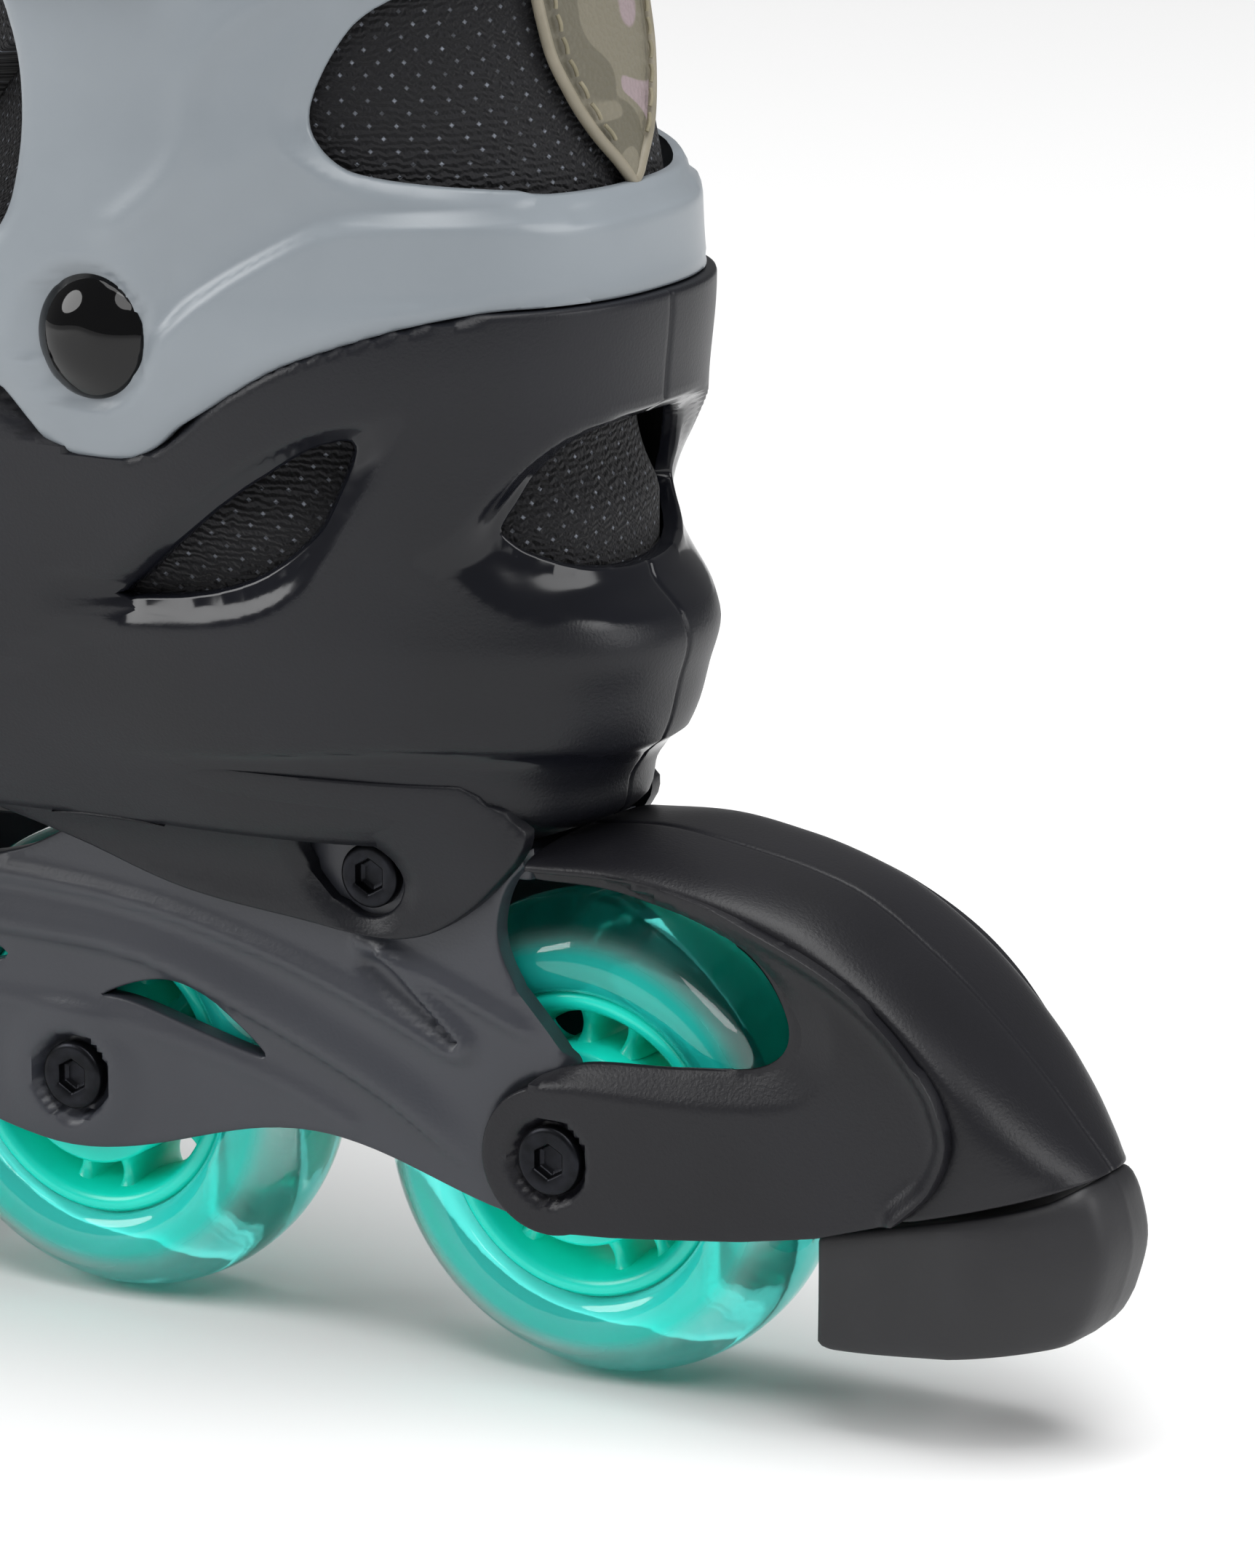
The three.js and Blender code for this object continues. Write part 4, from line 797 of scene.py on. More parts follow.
def walled(outer, inner, faces, data, lip=0.45):
    """Closes a trimmed sheet with an inner sheet and a rounded rim.

    An edge used by one face only is on the rim. Its outward direction is edge x normal, and the rim
    runs outer -> (0.7 lip out, 0.3 lip in) -> (lip out, lip in) -> inner."""
    outer, inner = outer.reshape(-1, 3), inner.reshape(-1, 3)
    count = len(outer)
    _, same = np.unique(np.round(outer, 3), axis=0, return_inverse=True)
    same = same.reshape(-1)
    a, b = faces.reshape(-1), np.roll(faces, -1, axis=1).reshape(-1)
    p, q, r = (outer[faces[:, k]] for k in (0, 1, 2))
    normal = np.cross(q - p, outer[faces[:, 3]] - p) + np.cross(r - q, p - q)
    normal = np.repeat(normal / np.maximum(np.linalg.norm(normal, axis=1, keepdims=True), 1e-9), 4, axis=0)
    distinct = same[a] != same[b]
    code, reverse = same[a] * count + same[b], same[b] * count + same[a]
    rim = distinct & ~np.isin(code, reverse[distinct])
    a, b, normal = a[rim], b[rim], normal[rim]
    along = outer[b] - outer[a]
    out = np.cross(along, normal)
    out /= np.maximum(np.linalg.norm(out, axis=1, keepdims=True), 1e-9)
    push = np.zeros((count, 3))
    for end in (a, b):
        np.add.at(push, same[end], out)
    push = push[same]
    push /= np.maximum(np.linalg.norm(push, axis=1, keepdims=True), 1e-9)
    deep = inner - outer
    deep /= np.maximum(np.linalg.norm(deep, axis=1, keepdims=True), 1e-9)
    first = outer + push * 0.7 * lip + deep * 0.25 * lip
    second = outer + push * lip + deep * lip
    third = inner + push * lip
    rows = [0 * count, 2 * count, 3 * count, 4 * count, count]
    strips = [np.column_stack([b + u, a + u, a + v, b + v]) for u, v in zip(rows[:-1], rows[1:])]
    layers = {key: np.concatenate([np.asarray(v, float).reshape(count, -1)] * 5) for key, v in data.items()}
    return (np.concatenate([outer, inner, first, second, third]),
            np.concatenate([faces, faces[:, ::-1] + count, *strips]), layers)


print("heel to middle of the ankle:", round(float(around(np.array(1.0), 130)), 1), "mm round the ring")

# %% [markdown]
# ## Shell
# The shell is one black moulding. Its outer skin is the boot's form with relief sunk into it: the
# vents lie in polished recesses, the cuff's seat is a step 4.2 mm deep, and a soft ledge runs low
# round the heel. The skin is trimmed along the vents and the rim, an inner skin 2.6 mm behind it is
# its wall, and a rounded rim joins the two. Vents on the side are drawn in side view; the heel's vent
# is drawn round the heel, in millimetres from its middle line.

# %% Outlines on the shell
side_vent = spline([(59, 112.2), (54, 116.2), (48.5, 120.8), (38.2, 128.6), (30.2, 133.7), (24.7, 136.8),
                    (19.4, 138.1), (18.2, 136.4), (20.4, 131.2), (24.5, 124.4), (30.8, 118.9),
                    (37.9, 115.3), (47.1, 113)], 90, True)
side_recess = spline([(12.4, 141.6), (19.7, 141.0), (26.5, 138.9), (36.2, 134.2), (46, 127), (54, 119),
                      (62, 112.2),
                      (71, 106.6), (78, 101.6), (88, 97), (80, 97.6), (71, 101.6), (57.8, 107.8),
                      (45.6, 109.0), (35.4, 111),
                      (27.8, 115.7), (22.7, 122.8), (16.4, 133.1)], 130, True)
heel_vent_half = [(29.2, 125.2), (26.6, 128.6), (23.3, 132.4), (18, 136.0), (11, 137.8), (4.4, 138.3)]
heel_vent_low = [(4.4, 117.0), (10.5, 117.5), (18.5, 118.8), (25.5, 121.3), (28.6, 123.6)]
heel_recess_half = [(43.6, 121.6), (38.2, 124.6), (32.9, 129.8), (26.3, 134.9), (19.6, 138.2), (11, 139.9),
                    (4, 140.3)]
heel_recess_low = [(4, 110.1), (10, 110.2), (19.9, 110.9), (28.8, 112.3), (34.8, 115.0), (40.5, 118.4)]


def both_sides(upper, lower):
    """A closed outline from its left half: the upper line from the tip, then mirrored, then the lower."""
    mirror = [(-s, z) for s, z in upper[::-1]]
    mirror_low = [(-s, z) for s, z in lower[::-1]]
    return spline(upper + mirror + mirror_low + lower, 160, True)


heel_vent = both_sides(heel_vent_half, heel_vent_low)
heel_recess = both_sides(heel_recess_half, heel_recess_low)
toe_vent = spline([(200, 100), (214, 99), (228, 103), (236, 110), (222, 108.5), (208, 105)], 60, True)
shell_rim = np.array([(-40, 155), (34, 155), (34.6, 156), (38, 163), (44, 169.5), (52, 173.3), (60, 173.9),
                      (68, 171.6),
                      (75, 166.6), (80, 159), (82.5, 154), (90, 151), (110, 146), (140, 140.5),
                      (170, 134.5), (196, 130), (212, 126.5), (300, 126)])
cuff_seat = spline([(-40, 155.8), (-6, 155.6), (5, 154.9), (12.4, 153.6), (20.6, 151), (29.3, 147.4),
                    (38.3, 141.9), (43.5, 137.6),
                    (49, 134.4), (57, 133.2), (65, 134.6), (73, 138.4), (84, 142), (100, 146), (120, 152)],
                    110)
heel_ledge = np.array([(-40, 91.2), (-8, 91.6), (0, 93.2), (10, 94.0), (19, 93.6), (42, 91.0), (81, 87.6),
                       (120, 84), (300, 80)])


# %% Relief of the shell
def shell_relief(w, z, points):
    """How far the skin lies inside the form, in mm, and how polished it is.

    The recesses sink by 2.7 and 3.2 smoothstep(share), where share goes from 0 at the recess's edge to
    1 at the vent's. The cuff's seat sinks by 4.2 over 1 mm, the ledge by 1.5, and the mould's parting
    line by 0.35 exp(-(s / 0.42)^2) at the middle of the heel."""
    x, zz = points[..., 0], points[..., 2]
    s = around(w, z)
    side = inside_by(x, zz, side_recess)
    heel = inside_by(s, zz, heel_recess)
    hole = inside_by(x, zz, side_vent)
    heel_hole = inside_by(s, zz, heel_vent)

    def share(recess, gap):
        depth = np.clip(recess, 0, 9)
        return depth / (depth + np.clip(-gap, 0, 9) + 1e-6)
    sink = 2.7 * smoothstep(share(side, hole), 0.0, 1.0) * (side > 0)
    sink = np.maximum(sink, 3.2 * smoothstep(share(heel, heel_hole), 0.0, 1.0) * (heel > 0))
    seat = above_line(x, zz, cuff_seat)
    sink = np.maximum(sink, 4.2 * smoothstep(seat, -0.2, 0.9))
    ledge = -above_line(x, zz, heel_ledge)
    fade = 1 - smoothstep(x, 30, 75)
    sink = sink + 0.35 * np.exp(-(s / 0.42) ** 2)
    sink = sink + 1.5 * smoothstep(ledge, -0.4, 1.2) * fade * (1 - smoothstep(ledge, 4, 12))
    polish = np.maximum(smoothstep(side, 0, 1.2), smoothstep(heel, 0, 1.2))
    polish = np.maximum(polish, smoothstep(ledge, -0.5, 0.6) * (1 - smoothstep(ledge, 2.2, 3.4)) * fade)
    return sink, polish * (seat < 0)


def shell_skin(w, z):
    """The form with the relief sunk into it."""
    bare = boot(w, z)
    sink, _ = shell_relief(w, z, bare)
    return boot(w, z, sink)


def shell_keep(points):
    """Positive below the rim and outside every vent."""
    x, y, z = points[..., 0], points[..., 1], points[..., 2]
    keep = -above_line(x, z, shell_rim)
    keep = np.minimum(keep, -inside_by(x, z, side_vent))
    keep = np.minimum(keep, -inside_by(x, z, toe_vent))
    near_heel = x < 25
    s = around(heel_w(x, y, z), z)
    return np.where(near_heel, np.minimum(keep, -inside_by(s, z, heel_vent)), keep)


def heel_w(x, y, z):
    """w back from a point near the heel: the angle whose cosine and sine fit its place."""
    back = np.clip((middle(z) - x) / (middle(z) - heel_x(z)), 0, 1) ** (heel_power / 2)
    across = np.clip(np.abs(y) / ankle_half(z), 0, 1) ** (heel_power / 2)
    return np.sign(y) * np.arctan2(across, back) / (np.pi / 2)


# %% Shell skin, sole and skirts
w = np.sort(np.concatenate([w_steps(104, 96), [-0.005, -0.0025, 0.0025, 0.005]]))
z = np.concatenate([np.linspace(77.5, 86, 8)[:-1], np.linspace(86, 174.5, 84)])
shell_points, shell_quads, places = trimmed(w, z, shell_skin, shell_keep, boot)
_, polish = shell_relief(*places, boot(*places))


def closing_fan(ring, spine, steps):
    """Rows that shrink a closed ring onto a line of points: p = ring + (spine - ring) t."""
    t = np.linspace(0, 1, steps)[:, None, None]
    return ring[None] + (spine - ring)[None] * t


def spine_of(ring, x0, x1):
    """The middle line that a ring shrinks onto: its own x kept between x0 and x1, y up to 3 at the toe."""
    lean = 3.0 * smoothstep(ring[:, 0], 120, 260)
    return np.column_stack([np.clip(ring[:, 0], x0, x1), lean, ring[:, 2]])


sole_ring, inner_ring = boot(w, 77.5), boot(w, 77.5, 2.6)
sole = closing_fan(sole_ring, spine_of(sole_ring, 30, 236), 9)
inner_sole = closing_fan(inner_ring, spine_of(inner_ring, 30, 234), 9) + (0, 0, 2.6)
sole_quads = grid_quads(9, len(w)) + shell_points[..., 0].size
inner_skin = boot(*places, shell_relief(*places, boot(*places))[0] + 2.6)
inner_skin[..., 2] += 2.6 * (1 - smoothstep(inner_skin[..., 2], 77.5, 85))
polish = np.concatenate([polish.ravel(), np.zeros(sole[..., 0].size)])
shell_patch = walled(np.concatenate([shell_points.reshape(-1, 3), sole.reshape(-1, 3)]),
                     np.concatenate([inner_skin.reshape(-1, 3), inner_sole.reshape(-1, 3)]),
                     np.concatenate([shell_quads, sole_quads]), {"polish": polish}, 0.6)
shell_obj = piece("shell_moulding", [shell_patch], shell_nylon, "chassis", "shell")
print("shell faces", len(shell_obj.data.polygons))

# %% [markdown]
# ## Skirts and sole blocks
# Below the sole, two skirts grip the frame's rails over each mount bolt. Each is a plate 2.8 mm thick
# beside the rail that sweeps out above it to meet the boot. Plates are laid on an x-z grid, trimmed on
# their outline in the same way as the skin, and closed with an inner face.

# %% Plates in side view
def plate(x_range, z_range, step, surface_y, keep, side, inner_y, lip=0.4):
    """A trimmed plate from y = side * surface_y(x, z) in to side * inner_y, on a grid of that step in mm."""
    x = np.linspace(*x_range, int((x_range[1] - x_range[0]) / step) + 1)
    z = np.linspace(*z_range, int((z_range[1] - z_range[0]) / step) + 1)

    def surface(px, pz):
        return np.stack([px, side * surface_y(px, pz), pz], -1)
    points, quads, _ = trimmed(x, z, surface, lambda p: keep(p[..., 0], p[..., 2]))
    depth = inner_y(points[..., 1] * side) if callable(inner_y) else inner_y
    inner = np.stack([points[..., 0], side * depth + 0 * points[..., 1], points[..., 2]], -1)
    return walled(points, inner, quads if side > 0 else quads[:, ::-1], {}, lip)


def mirrored_x(points):
    """The points' mirror image in the plane half way between the end axles."""
    return np.stack([2 * middle_x - points[..., 0], points[..., 1], points[..., 2]], -1)


def flank(x, z, inset=0.0):
    """Half width of the form at a place in side view, from the same two superellipses."""
    centre, front, heel = middle(z), front_x(z) - inset, heel_x(z) + inset
    half, ball = ankle_half(z) - inset, ball_half(z) - inset
    t = np.clip((x - centre) / (front - centre), 0, 1)
    c = np.clip((centre - x) / (centre - heel), 0, 1)
    wide = half + (ball - half) * smoothstep(t, 0, 0.6)
    return np.where(x >= centre, wide * (1 - t ** toe_power) ** (1 / toe_power),
                    half * (1 - c ** heel_power) ** (1 / heel_power))


skirt_outline = np.concatenate([spline([(4.2, 80), (6, 77), (9, 73.6), (13.5, 69.4), (20, 65.4), (28, 64),
                                        (40, 65), (60, 67.2),
                                        (79, 72.6), (88, 75.6), (94, 77.6)], 60),
                                        [(98, 87.6), (12, 87.6), (4.2, 82)]])
angle = np.radians(np.arange(90, 301, 15))
access_round = np.column_stack([6.4 * np.cos(angle), 6.4 * np.sin(angle)])
access = np.concatenate([access_round, [(6.0, -3.6), (9.6, 0.4), (10.4, 3.2), (9.4, 5.6), (6.4, 6.6)]])
access = spline(access + (rear_mount, mount_z), 60, True)


def skirt_y(x, z):
    """19.4 over the rail, easing in by 0.9 round the bolt's pocket and sweeping out to meet the boot."""
    pocket = distance_to(x, z, access, closed=True)
    reach = np.maximum(flank(x, 87.5, 0.7) - skirt_face, 0)
    return skirt_face - 0.9 * (1 - smoothstep(pocket, 0, 2.5)) + reach * smoothstep(z, 69.5, 89)


def skirt_keep(x, z):
    """Positive inside the skirt's outline and outside the bolt's access hole."""
    return np.minimum(inside_by(x, z, skirt_outline), -inside_by(x, z, access))


skirts = []
for side in (1, -1):
    grid, quads, data = plate((2, 97), (62.5, 88.5), 1.1, skirt_y, skirt_keep, side, lambda y: y - 2.8, 0.6)
    skirts += [(grid, quads, data), (mirrored_x(grid), quads[:, ::-1], data)]
piece("shell_skirts", skirts, shell_nylon, "chassis")


def rounded_box(x0, x1, y0, y1, z0, z1, power=8.0):
    """A superellipsoid: each axis goes as sign(c) |c|^(2 / power), so faces are flat and edges round."""
    a = np.linspace(-np.pi / 2, np.pi / 2, 17)[:, None]
    b = np.linspace(0, 2 * np.pi, 32, endpoint=False)[None, :]
    bend = lambda t: np.sign(t) * np.abs(t) ** (2 / power)
    x = bend(np.cos(a)) * bend(np.cos(b)) * (x1 - x0) / 2 + (x0 + x1) / 2
    y = bend(np.cos(a)) * bend(np.sin(b)) * (y1 - y0) / 2 + (y0 + y1) / 2
    z = bend(np.sin(a)) * (z1 - z0) / 2 + (z0 + z1) / 2 + 0 * b
    return outward((np.stack([x, y, z], -1), grid_quads(17, 32, False, True), {}))


piece("sole_blocks", [rounded_box(x - 7.5, x + 7.5, -12.5, 12.5, 66, 78.5) for x in mounts.values()],
      shell_nylon, "chassis")

# %% [markdown]
# ## Frame
# The frame is a channel of two rails joined by webs and decks, moulded in glass-filled nylon. A rail
# is a plate with its relief written as a height over the side view: an arched rib, a pocket with a
# raised border behind it, a crease along the foot of the arch and a bulge round each axle.

# %% Outlines and relief of a rail
def mirror_line(line):
    return np.column_stack([2 * middle_x - np.asarray(line)[:, 0], np.asarray(line)[:, 1]])


wave_x = np.linspace(0, 3 * wheel_pitch, 91)[1:-1]
scallop = np.column_stack([wave_x, 25 + 4 * (1 - np.cos(2 * np.pi * wave_x / wheel_pitch))])
turn = np.radians(np.arange(270, 119, -12.5))
rear_end = np.column_stack([10 * np.cos(turn), wheel_radius + 10 * np.sin(turn)])
rear_edge = spline([(-4.5, 44), (0, 50.5), (5, 56), (8.6, 60), (10.5, 66), (9, 72.5), (5, 77.2)], 30)
dip = spline([(72, 77.2), (80, 72.5), (90, 67.5), (104, 64.8), (middle_x, 64), (2 * middle_x - 104, 64.8),
              (2 * middle_x - 90, 67.5), (2 * middle_x - 80, 72.5), (2 * middle_x - 72, 77.2)], 60)
front_x0 = 3 * wheel_pitch
front_edge = spline([(front_x0 + 20, 77.2), (front_x0 + 19, 66), (front_x0 + 12, 52), (front_x0 + 10, 42)],
                    24)
turn = np.radians(np.arange(20, -91, -12.5))
front_end = np.column_stack([front_x0 + 10 * np.cos(turn), wheel_radius + 10 * np.sin(turn)])
rail_outline = np.concatenate([scallop[::-1], rear_end, rear_edge, dip, front_edge, front_end])
rail_windows = [spline([(76.5, 48), (67, 51.7), (58, 50), (49, 44), (50, 42.2), (70, 47)], 50, True),
                spline([(91.8, 51.6), (98, 54.6), (107, 55.6), (117, 53), (108, 50.2), (98, 49.6)], 50,
                       True)]
rail_windows += [mirror_line(line) for line in rail_windows]
arch = spline([(124, 62.5), (94, 64.2), (70, 62.8), (50, 59), (35, 54.6), (22, 49.6), (17, 47.6),
               (14.6, 48.4), (16.5, 50.6),
               (22, 55.6), (28, 61)], 90)
fin = spline([(32, 62), (28, 61), (20, 58), (10, 54), (1, 50.5)], 40)
pocket = spline([(28.5, 59.8), (22, 54.6), (17, 50.2), (15.6, 48.6), (17.6, 48.6), (22, 51), (28, 54.4),
                 (33, 58.6)], 50, True)
foot_crease = spline([(124, 56), (94, 55.4), (70, 54), (50, 48), (30, 40), (18, 33), (12, 29)], 60)
lower_rib = spline([(108, 46), (94, 45.2), (81, 45), (70, 44), (58, 42), (45, 38.8), (34, 34.6)], 50)


def rail_y(x, z):
    """Outer face in mm: 16 + rounded ribs a exp(-(d / b)^2), d from the arch, the fin and the lower rib,
    + a panel that fades above the crease + a bulge and a bolt's seat at each axle - the hollow pocket."""
    x = np.where(x > middle_x, 2 * middle_x - x, x)
    hollow = 1.3 * smoothstep(inside_by(x, z, pocket), -0.3, 1.2)
    rib = 1.3 * np.exp(-(distance_to(x, z, arch) / 1.25) ** 2)
    rib = rib + 1.2 * np.exp(-(distance_to(x, z, fin) / 1.2) ** 2)
    over = above_line(x, z, foot_crease)
    panel = 1.7 * smoothstep(over, -0.8, 0.8) * (1 - 0.75 * smoothstep(over, 1, 8)) * smoothstep(x, 8, 24)
    lip = 0.5 * np.exp(-(distance_to(x, z, lower_rib) / 1.6) ** 2)
    for centre in (0.0, wheel_pitch):
        reach = np.hypot(x - centre, z - wheel_radius)
        lip = lip + 0.7 * (1 - smoothstep(reach, 7.5, 13)) * smoothstep(reach, 5.9, 6.5)
    seat_depth = 2.0 * (1 - smoothstep(np.hypot(x - wheel_pitch, z - wheel_radius), 5.8, 6.6))
    rear = 2.0 * (1 - smoothstep(np.hypot(x, z - wheel_radius), 10.8, 11.6))
    behind = 2.0 * (x < 0)
    back = np.maximum(rear, behind * (1 - smoothstep(x, -2, 0)))
    return rail_face + rib * smoothstep(x, 2, 8) + panel + lip - hollow - seat_depth - back


def rail_keep(x, z):
    """Positive inside the rail's outline and outside its windows and bolt holes."""
    keep = inside_by(x, z, rail_outline)
    for window in rail_windows:
        keep = np.minimum(keep, -inside_by(x, z, window))
    for centre in axles.values():
        keep = np.minimum(keep, np.hypot(x - centre, z - wheel_radius) - 4.05)
    for centre in mounts.values():
        keep = np.minimum(keep, np.hypot(x - centre, z - mount_z) - 3.3)
    return keep


# %% Rails, webs and decks
rail_patches = []
for side in (1, -1):
    rail_patches.append(plate((-11, front_x0 + 22), (24, 78), 0.95, rail_y, rail_keep, side, 12.95))
piece("frame_rails", rail_patches, frame_nylon, "chassis", "frame")
webs = [rounded_box(x - 3, x + 3, -13.4, 13.4, z0, z1, 12) for x, z0, z1 in
        ((0.5 * wheel_pitch, 62, 74), (1.5 * wheel_pitch, 52, 63), (2.5 * wheel_pitch, 62, 74))]
decks = [rounded_box(x0, x1, -13.4, 13.4, 73, 77.1, 14) for x0, x1 in
         ((6, 20.5), (44, 72), (2 * middle_x - 72, 2 * middle_x - 44),
          (2 * middle_x - 20.5, 2 * middle_x - 6))]
bosses = [outward(turned([(4.05, y0), (8.2, y0), (8.2, y1), (4.05, y1), (4.05, y0)], x, wheel_radius, 48))
          for x in axles.values() for y0, y1 in ((12.05, 13.2), (-13.2, -12.05))]
piece("frame_webs", webs + decks + bosses, frame_nylon, "chassis")


# %% [markdown]
# ## Cuff
# The cuff is one grey moulding round the ankle, hinged on two rivets. It shares the boot's form. Its
# lower band is flat; above a crease the arm sinks into a shallow valley, and a soft bevel leads into
# the window at the heel.

# %% Cuff outline and relief
pivot_x, pivot_z = 57.8, 150.0
turn = np.radians(np.arange(222, 301, 6))
lobe = np.column_stack([pivot_x + 17.2 * np.cos(turn), pivot_z + 17.2 * np.sin(turn)])
cuff_outline = np.concatenate([
    spline([(-40, 156.3), (-5, 156.3), (3, 156.1), (11.4, 154.4), (20, 151.6), (29.1, 148), (38.3, 142.5),
            lobe[0]], 60)[:-1],
    lobe, spline([(72, 141.6), (82, 147), (88, 151.5), (90, 156.5), (87, 160.5), (78, 161), (73, 163.5),
                  (70.4, 170), (69.5, 180),
                  (71, 190), (76, 198.5), (86, 203.5), (96, 205.5), (97.5, 212), (95, 220), (88, 224.5),
                  (60, 226), (20, 228),
                  (-40, 229)], 120)])
cuff_window = np.concatenate([
    spline([(-40, 169.9), (-5.7, 169.9), (0, 170.9), (7, 171.8), (14.4, 172.8), (20.1, 174.2), (24, 177.3),
            (25.6, 180.9), (24.8, 185.1),
            (22.2, 190.4), (19.2, 194.6), (14.9, 197.7), (8, 200.6), (-2, 203), (-40, 206)], 110)])
lower_crease = spline([(49.6, 137), (48.6, 143.3), (46.1, 150), (40.2, 155.8), (31, 161.7), (21.9, 166.3),
                       (12.4, 167.5), (-1.6, 167.2),
                       (-6.1, 166.4), (-40, 166.4)], 90)

arm_ridge = spline([(53, 165.5), (46, 171.3), (42.4, 178), (41.8, 186.3), (36, 194), (26, 199.5), (10, 206),
                    (-40, 212)], 60)


def cuff_sink(x, z):
    """Depth of the outer face inside the form: the valley above the crease, the window's bevel, the
    cap's recess of 1.3 and a rounding of every edge."""
    above = above_line(x, z, lower_crease) * np.where(x > 49.6, -1, 1)
    valley = 1.5 * smoothstep(above, 0, 1.6) * (1 - smoothstep(above, 4, 15)) * smoothstep(x, 52, 44)
    valley = valley * (x < 50)
    window = np.clip(-inside_by(x, z, cuff_window), 0, None)
    bevel = 1.5 * (1 - smoothstep(window, 0.5, 4.2))
    cap = 1.3 * (1 - smoothstep(np.hypot(x - pivot_x, z - pivot_z), 9.4, 10.4))
    ridge = 0.7 * np.exp(-(distance_to(x, z, arm_ridge) / 2.6) ** 2)
    edge = np.minimum(np.clip(inside_by(x, z, cuff_outline), 0, None), window)
    return np.maximum(valley, bevel) - ridge + cap + 0.55 * (1 - smoothstep(edge, 0.1, 1.5))


def cuff_skin(w, z):
    """The form with the cuff's relief sunk into it."""
    bare = boot(w, z)
    return boot(w, z, cuff_sink(bare[..., 0], z))


def cuff_keep(points):
    """Positive inside the cuff's outline and outside the window at the heel."""
    x, z = points[..., 0], points[..., 2]
    return np.minimum(inside_by(x, z, cuff_outline), -inside_by(x, z, cuff_window))


# %% Cuff and pivot caps
w = w_steps(110, 76)
cuff_points, cuff_quads, places = trimmed(w, np.linspace(128, 230.5, 104), cuff_skin, cuff_keep, boot)
piece("cuff_moulding", [walled(cuff_points, boot(*places, 3.3), cuff_quads, {}, 0.5)], cuff_plastic, "cuff",
      "cuff")


def pivot_cap(side):
    """A dome of radius 8.6: y = 43.3 + 3.6 (1 - (r / 8.6)^2.6), with a small rolled skirt."""
    r = np.linspace(0, 8.6, 15)
    dome = np.column_stack([r, 43.6 + 3.4 * (1 - (r / 8.6) ** 2.6)])
    profile = np.concatenate([dome, [(8.75, 43.2), (8.7, 42.6), (0, 42.6)]])
    grid, quads, data = turned(profile, pivot_x, pivot_z, 80)
    grid = grid * (1, side, 1)
    return outward((grid, quads, data))


for word, side in (("left", 1), ("right", -1)):
    piece(f"domed_pivot_cap_{word}", [pivot_cap(side)], cap_plastic, "chassis", f"pivot_rivet_{word}")

# %% [markdown]
# ## Soft boot
# The inner boot is foam faced with mesh, in a foot part and a cuff part that meet on an arc round the
# pivots, with a tongue in front. Each part is a sheet on the boot's form, thickened to its padding,
# with its top edge rolled inwards. It shows through the vents and the cuff's window. A fold of the
# same cloth bridges the two tongues.

# %% Soft boot
def arc_about(radius, start, end, count=24):
    """An arc round the pivot, in side view, between two angles in degrees."""
    turn = np.radians(np.linspace(start, end, count))
    return np.column_stack([pivot_x + radius * np.cos(turn), pivot_z + radius * np.sin(turn)])


def far_point(reach, degrees):
    """The point at that reach and angle from the pivot, in side view."""
    return [(pivot_x + reach * math.cos(math.radians(degrees)),
             pivot_z + reach * math.sin(math.radians(degrees)))]


foot_zone = np.concatenate([[(-60, 60), (-60, 154.5), (17.8, 154.5)], arc_about(39.5, 173, 10),
                            far_point(200, 10), [(320, 60)]])
leg_zone = np.concatenate([[(-60, 158.2), (16.6, 158.2)], arc_about(42.0, 168, 31), far_point(120, 31),
                           [(170, 300), (-60, 300)]])


def foot_inset(z):
    """Inside the shell's wall, at least 6.4 mm so that it clears the sunk vents."""
    wall_here = 2.6 + 4.1 * smoothstep(z, 118, 138)
    return np.maximum(wall_here + 0.5 + 3 * smoothstep(z, 112, 132), 6.4)


def leg_inset(z, top):
    """4.8 mm inside the form, 2 mm fuller above the cuff, and rolled in over its last 4 mm."""
    roll = np.clip((z - (top - 4)) / 4, 0, 1)
    return 4.8 - 2.0 * np.exp(-((z - top + 9) / 5.5) ** 2) + 4.2 * (1 - np.sqrt(1 - roll ** 2))


def soft_part(name, node, body, w, z, inset, keep, thick):
    """A sheet of padding: the form inset by inset(z), closed by one that lies thick further in."""
    points, quads, (u, v) = trimmed(w, z, lambda a, b: boot(a, b, inset(b)), keep)
    cloth = np.stack([around(u, v), v], -1)
    padding = walled(points, boot(u, v, inset(v) + thick), quads, {"cloth_mm": cloth}, 0.5)
    obj = piece(name, [padding], mesh_cloth, body, *([node] if node else []), sharp=180)
    return obj


def beside_tongue(p, x0, z0, gap):
    """Positive outside the tongue's box, |y| < half, x > x0 and z > z0, with gap at its sides and back."""
    return np.maximum(np.maximum(np.abs(p[..., 1]) - tongue_half - gap, x0 - gap - p[..., 0]),
                      z0 - p[..., 2])


tongue_half = 20.0
w = w_steps(60, 60)
foot_z = np.concatenate([np.linspace(81, 104, 10)[:-1], np.linspace(104, 196, 60)])
leg_z = np.concatenate([np.linspace(150, 240, 50)[:-1], np.linspace(240, 246, 9)])
tongue_z = np.concatenate([np.linspace(150, 248, 50)[:-1], np.linspace(248, 254, 9)])
soft_part("mesh_boot_foot", "liner_foot", "chassis", w, foot_z, foot_inset, lambda p: np.minimum(
    inside_by(p[..., 0], p[..., 2], foot_zone), beside_tongue(p, 104, 112, 0.4)), 3.5)
soft_part("mesh_tongue_foot", "tongue_foot", "chassis", w, foot_z, lambda z: foot_inset(z) - 0.8,
          lambda p: np.minimum(
    inside_by(p[..., 0], p[..., 2], foot_zone), -beside_tongue(p, 104, 112, 0.0)), 5.0)
soft_part("mesh_boot_cuff", "liner_cuff", "cuff", w, leg_z, lambda z: leg_inset(z, 246),
          lambda p: np.minimum(
    inside_by(p[..., 0], p[..., 2], leg_zone), beside_tongue(p, 78, 140, 0.4)), 5.0)
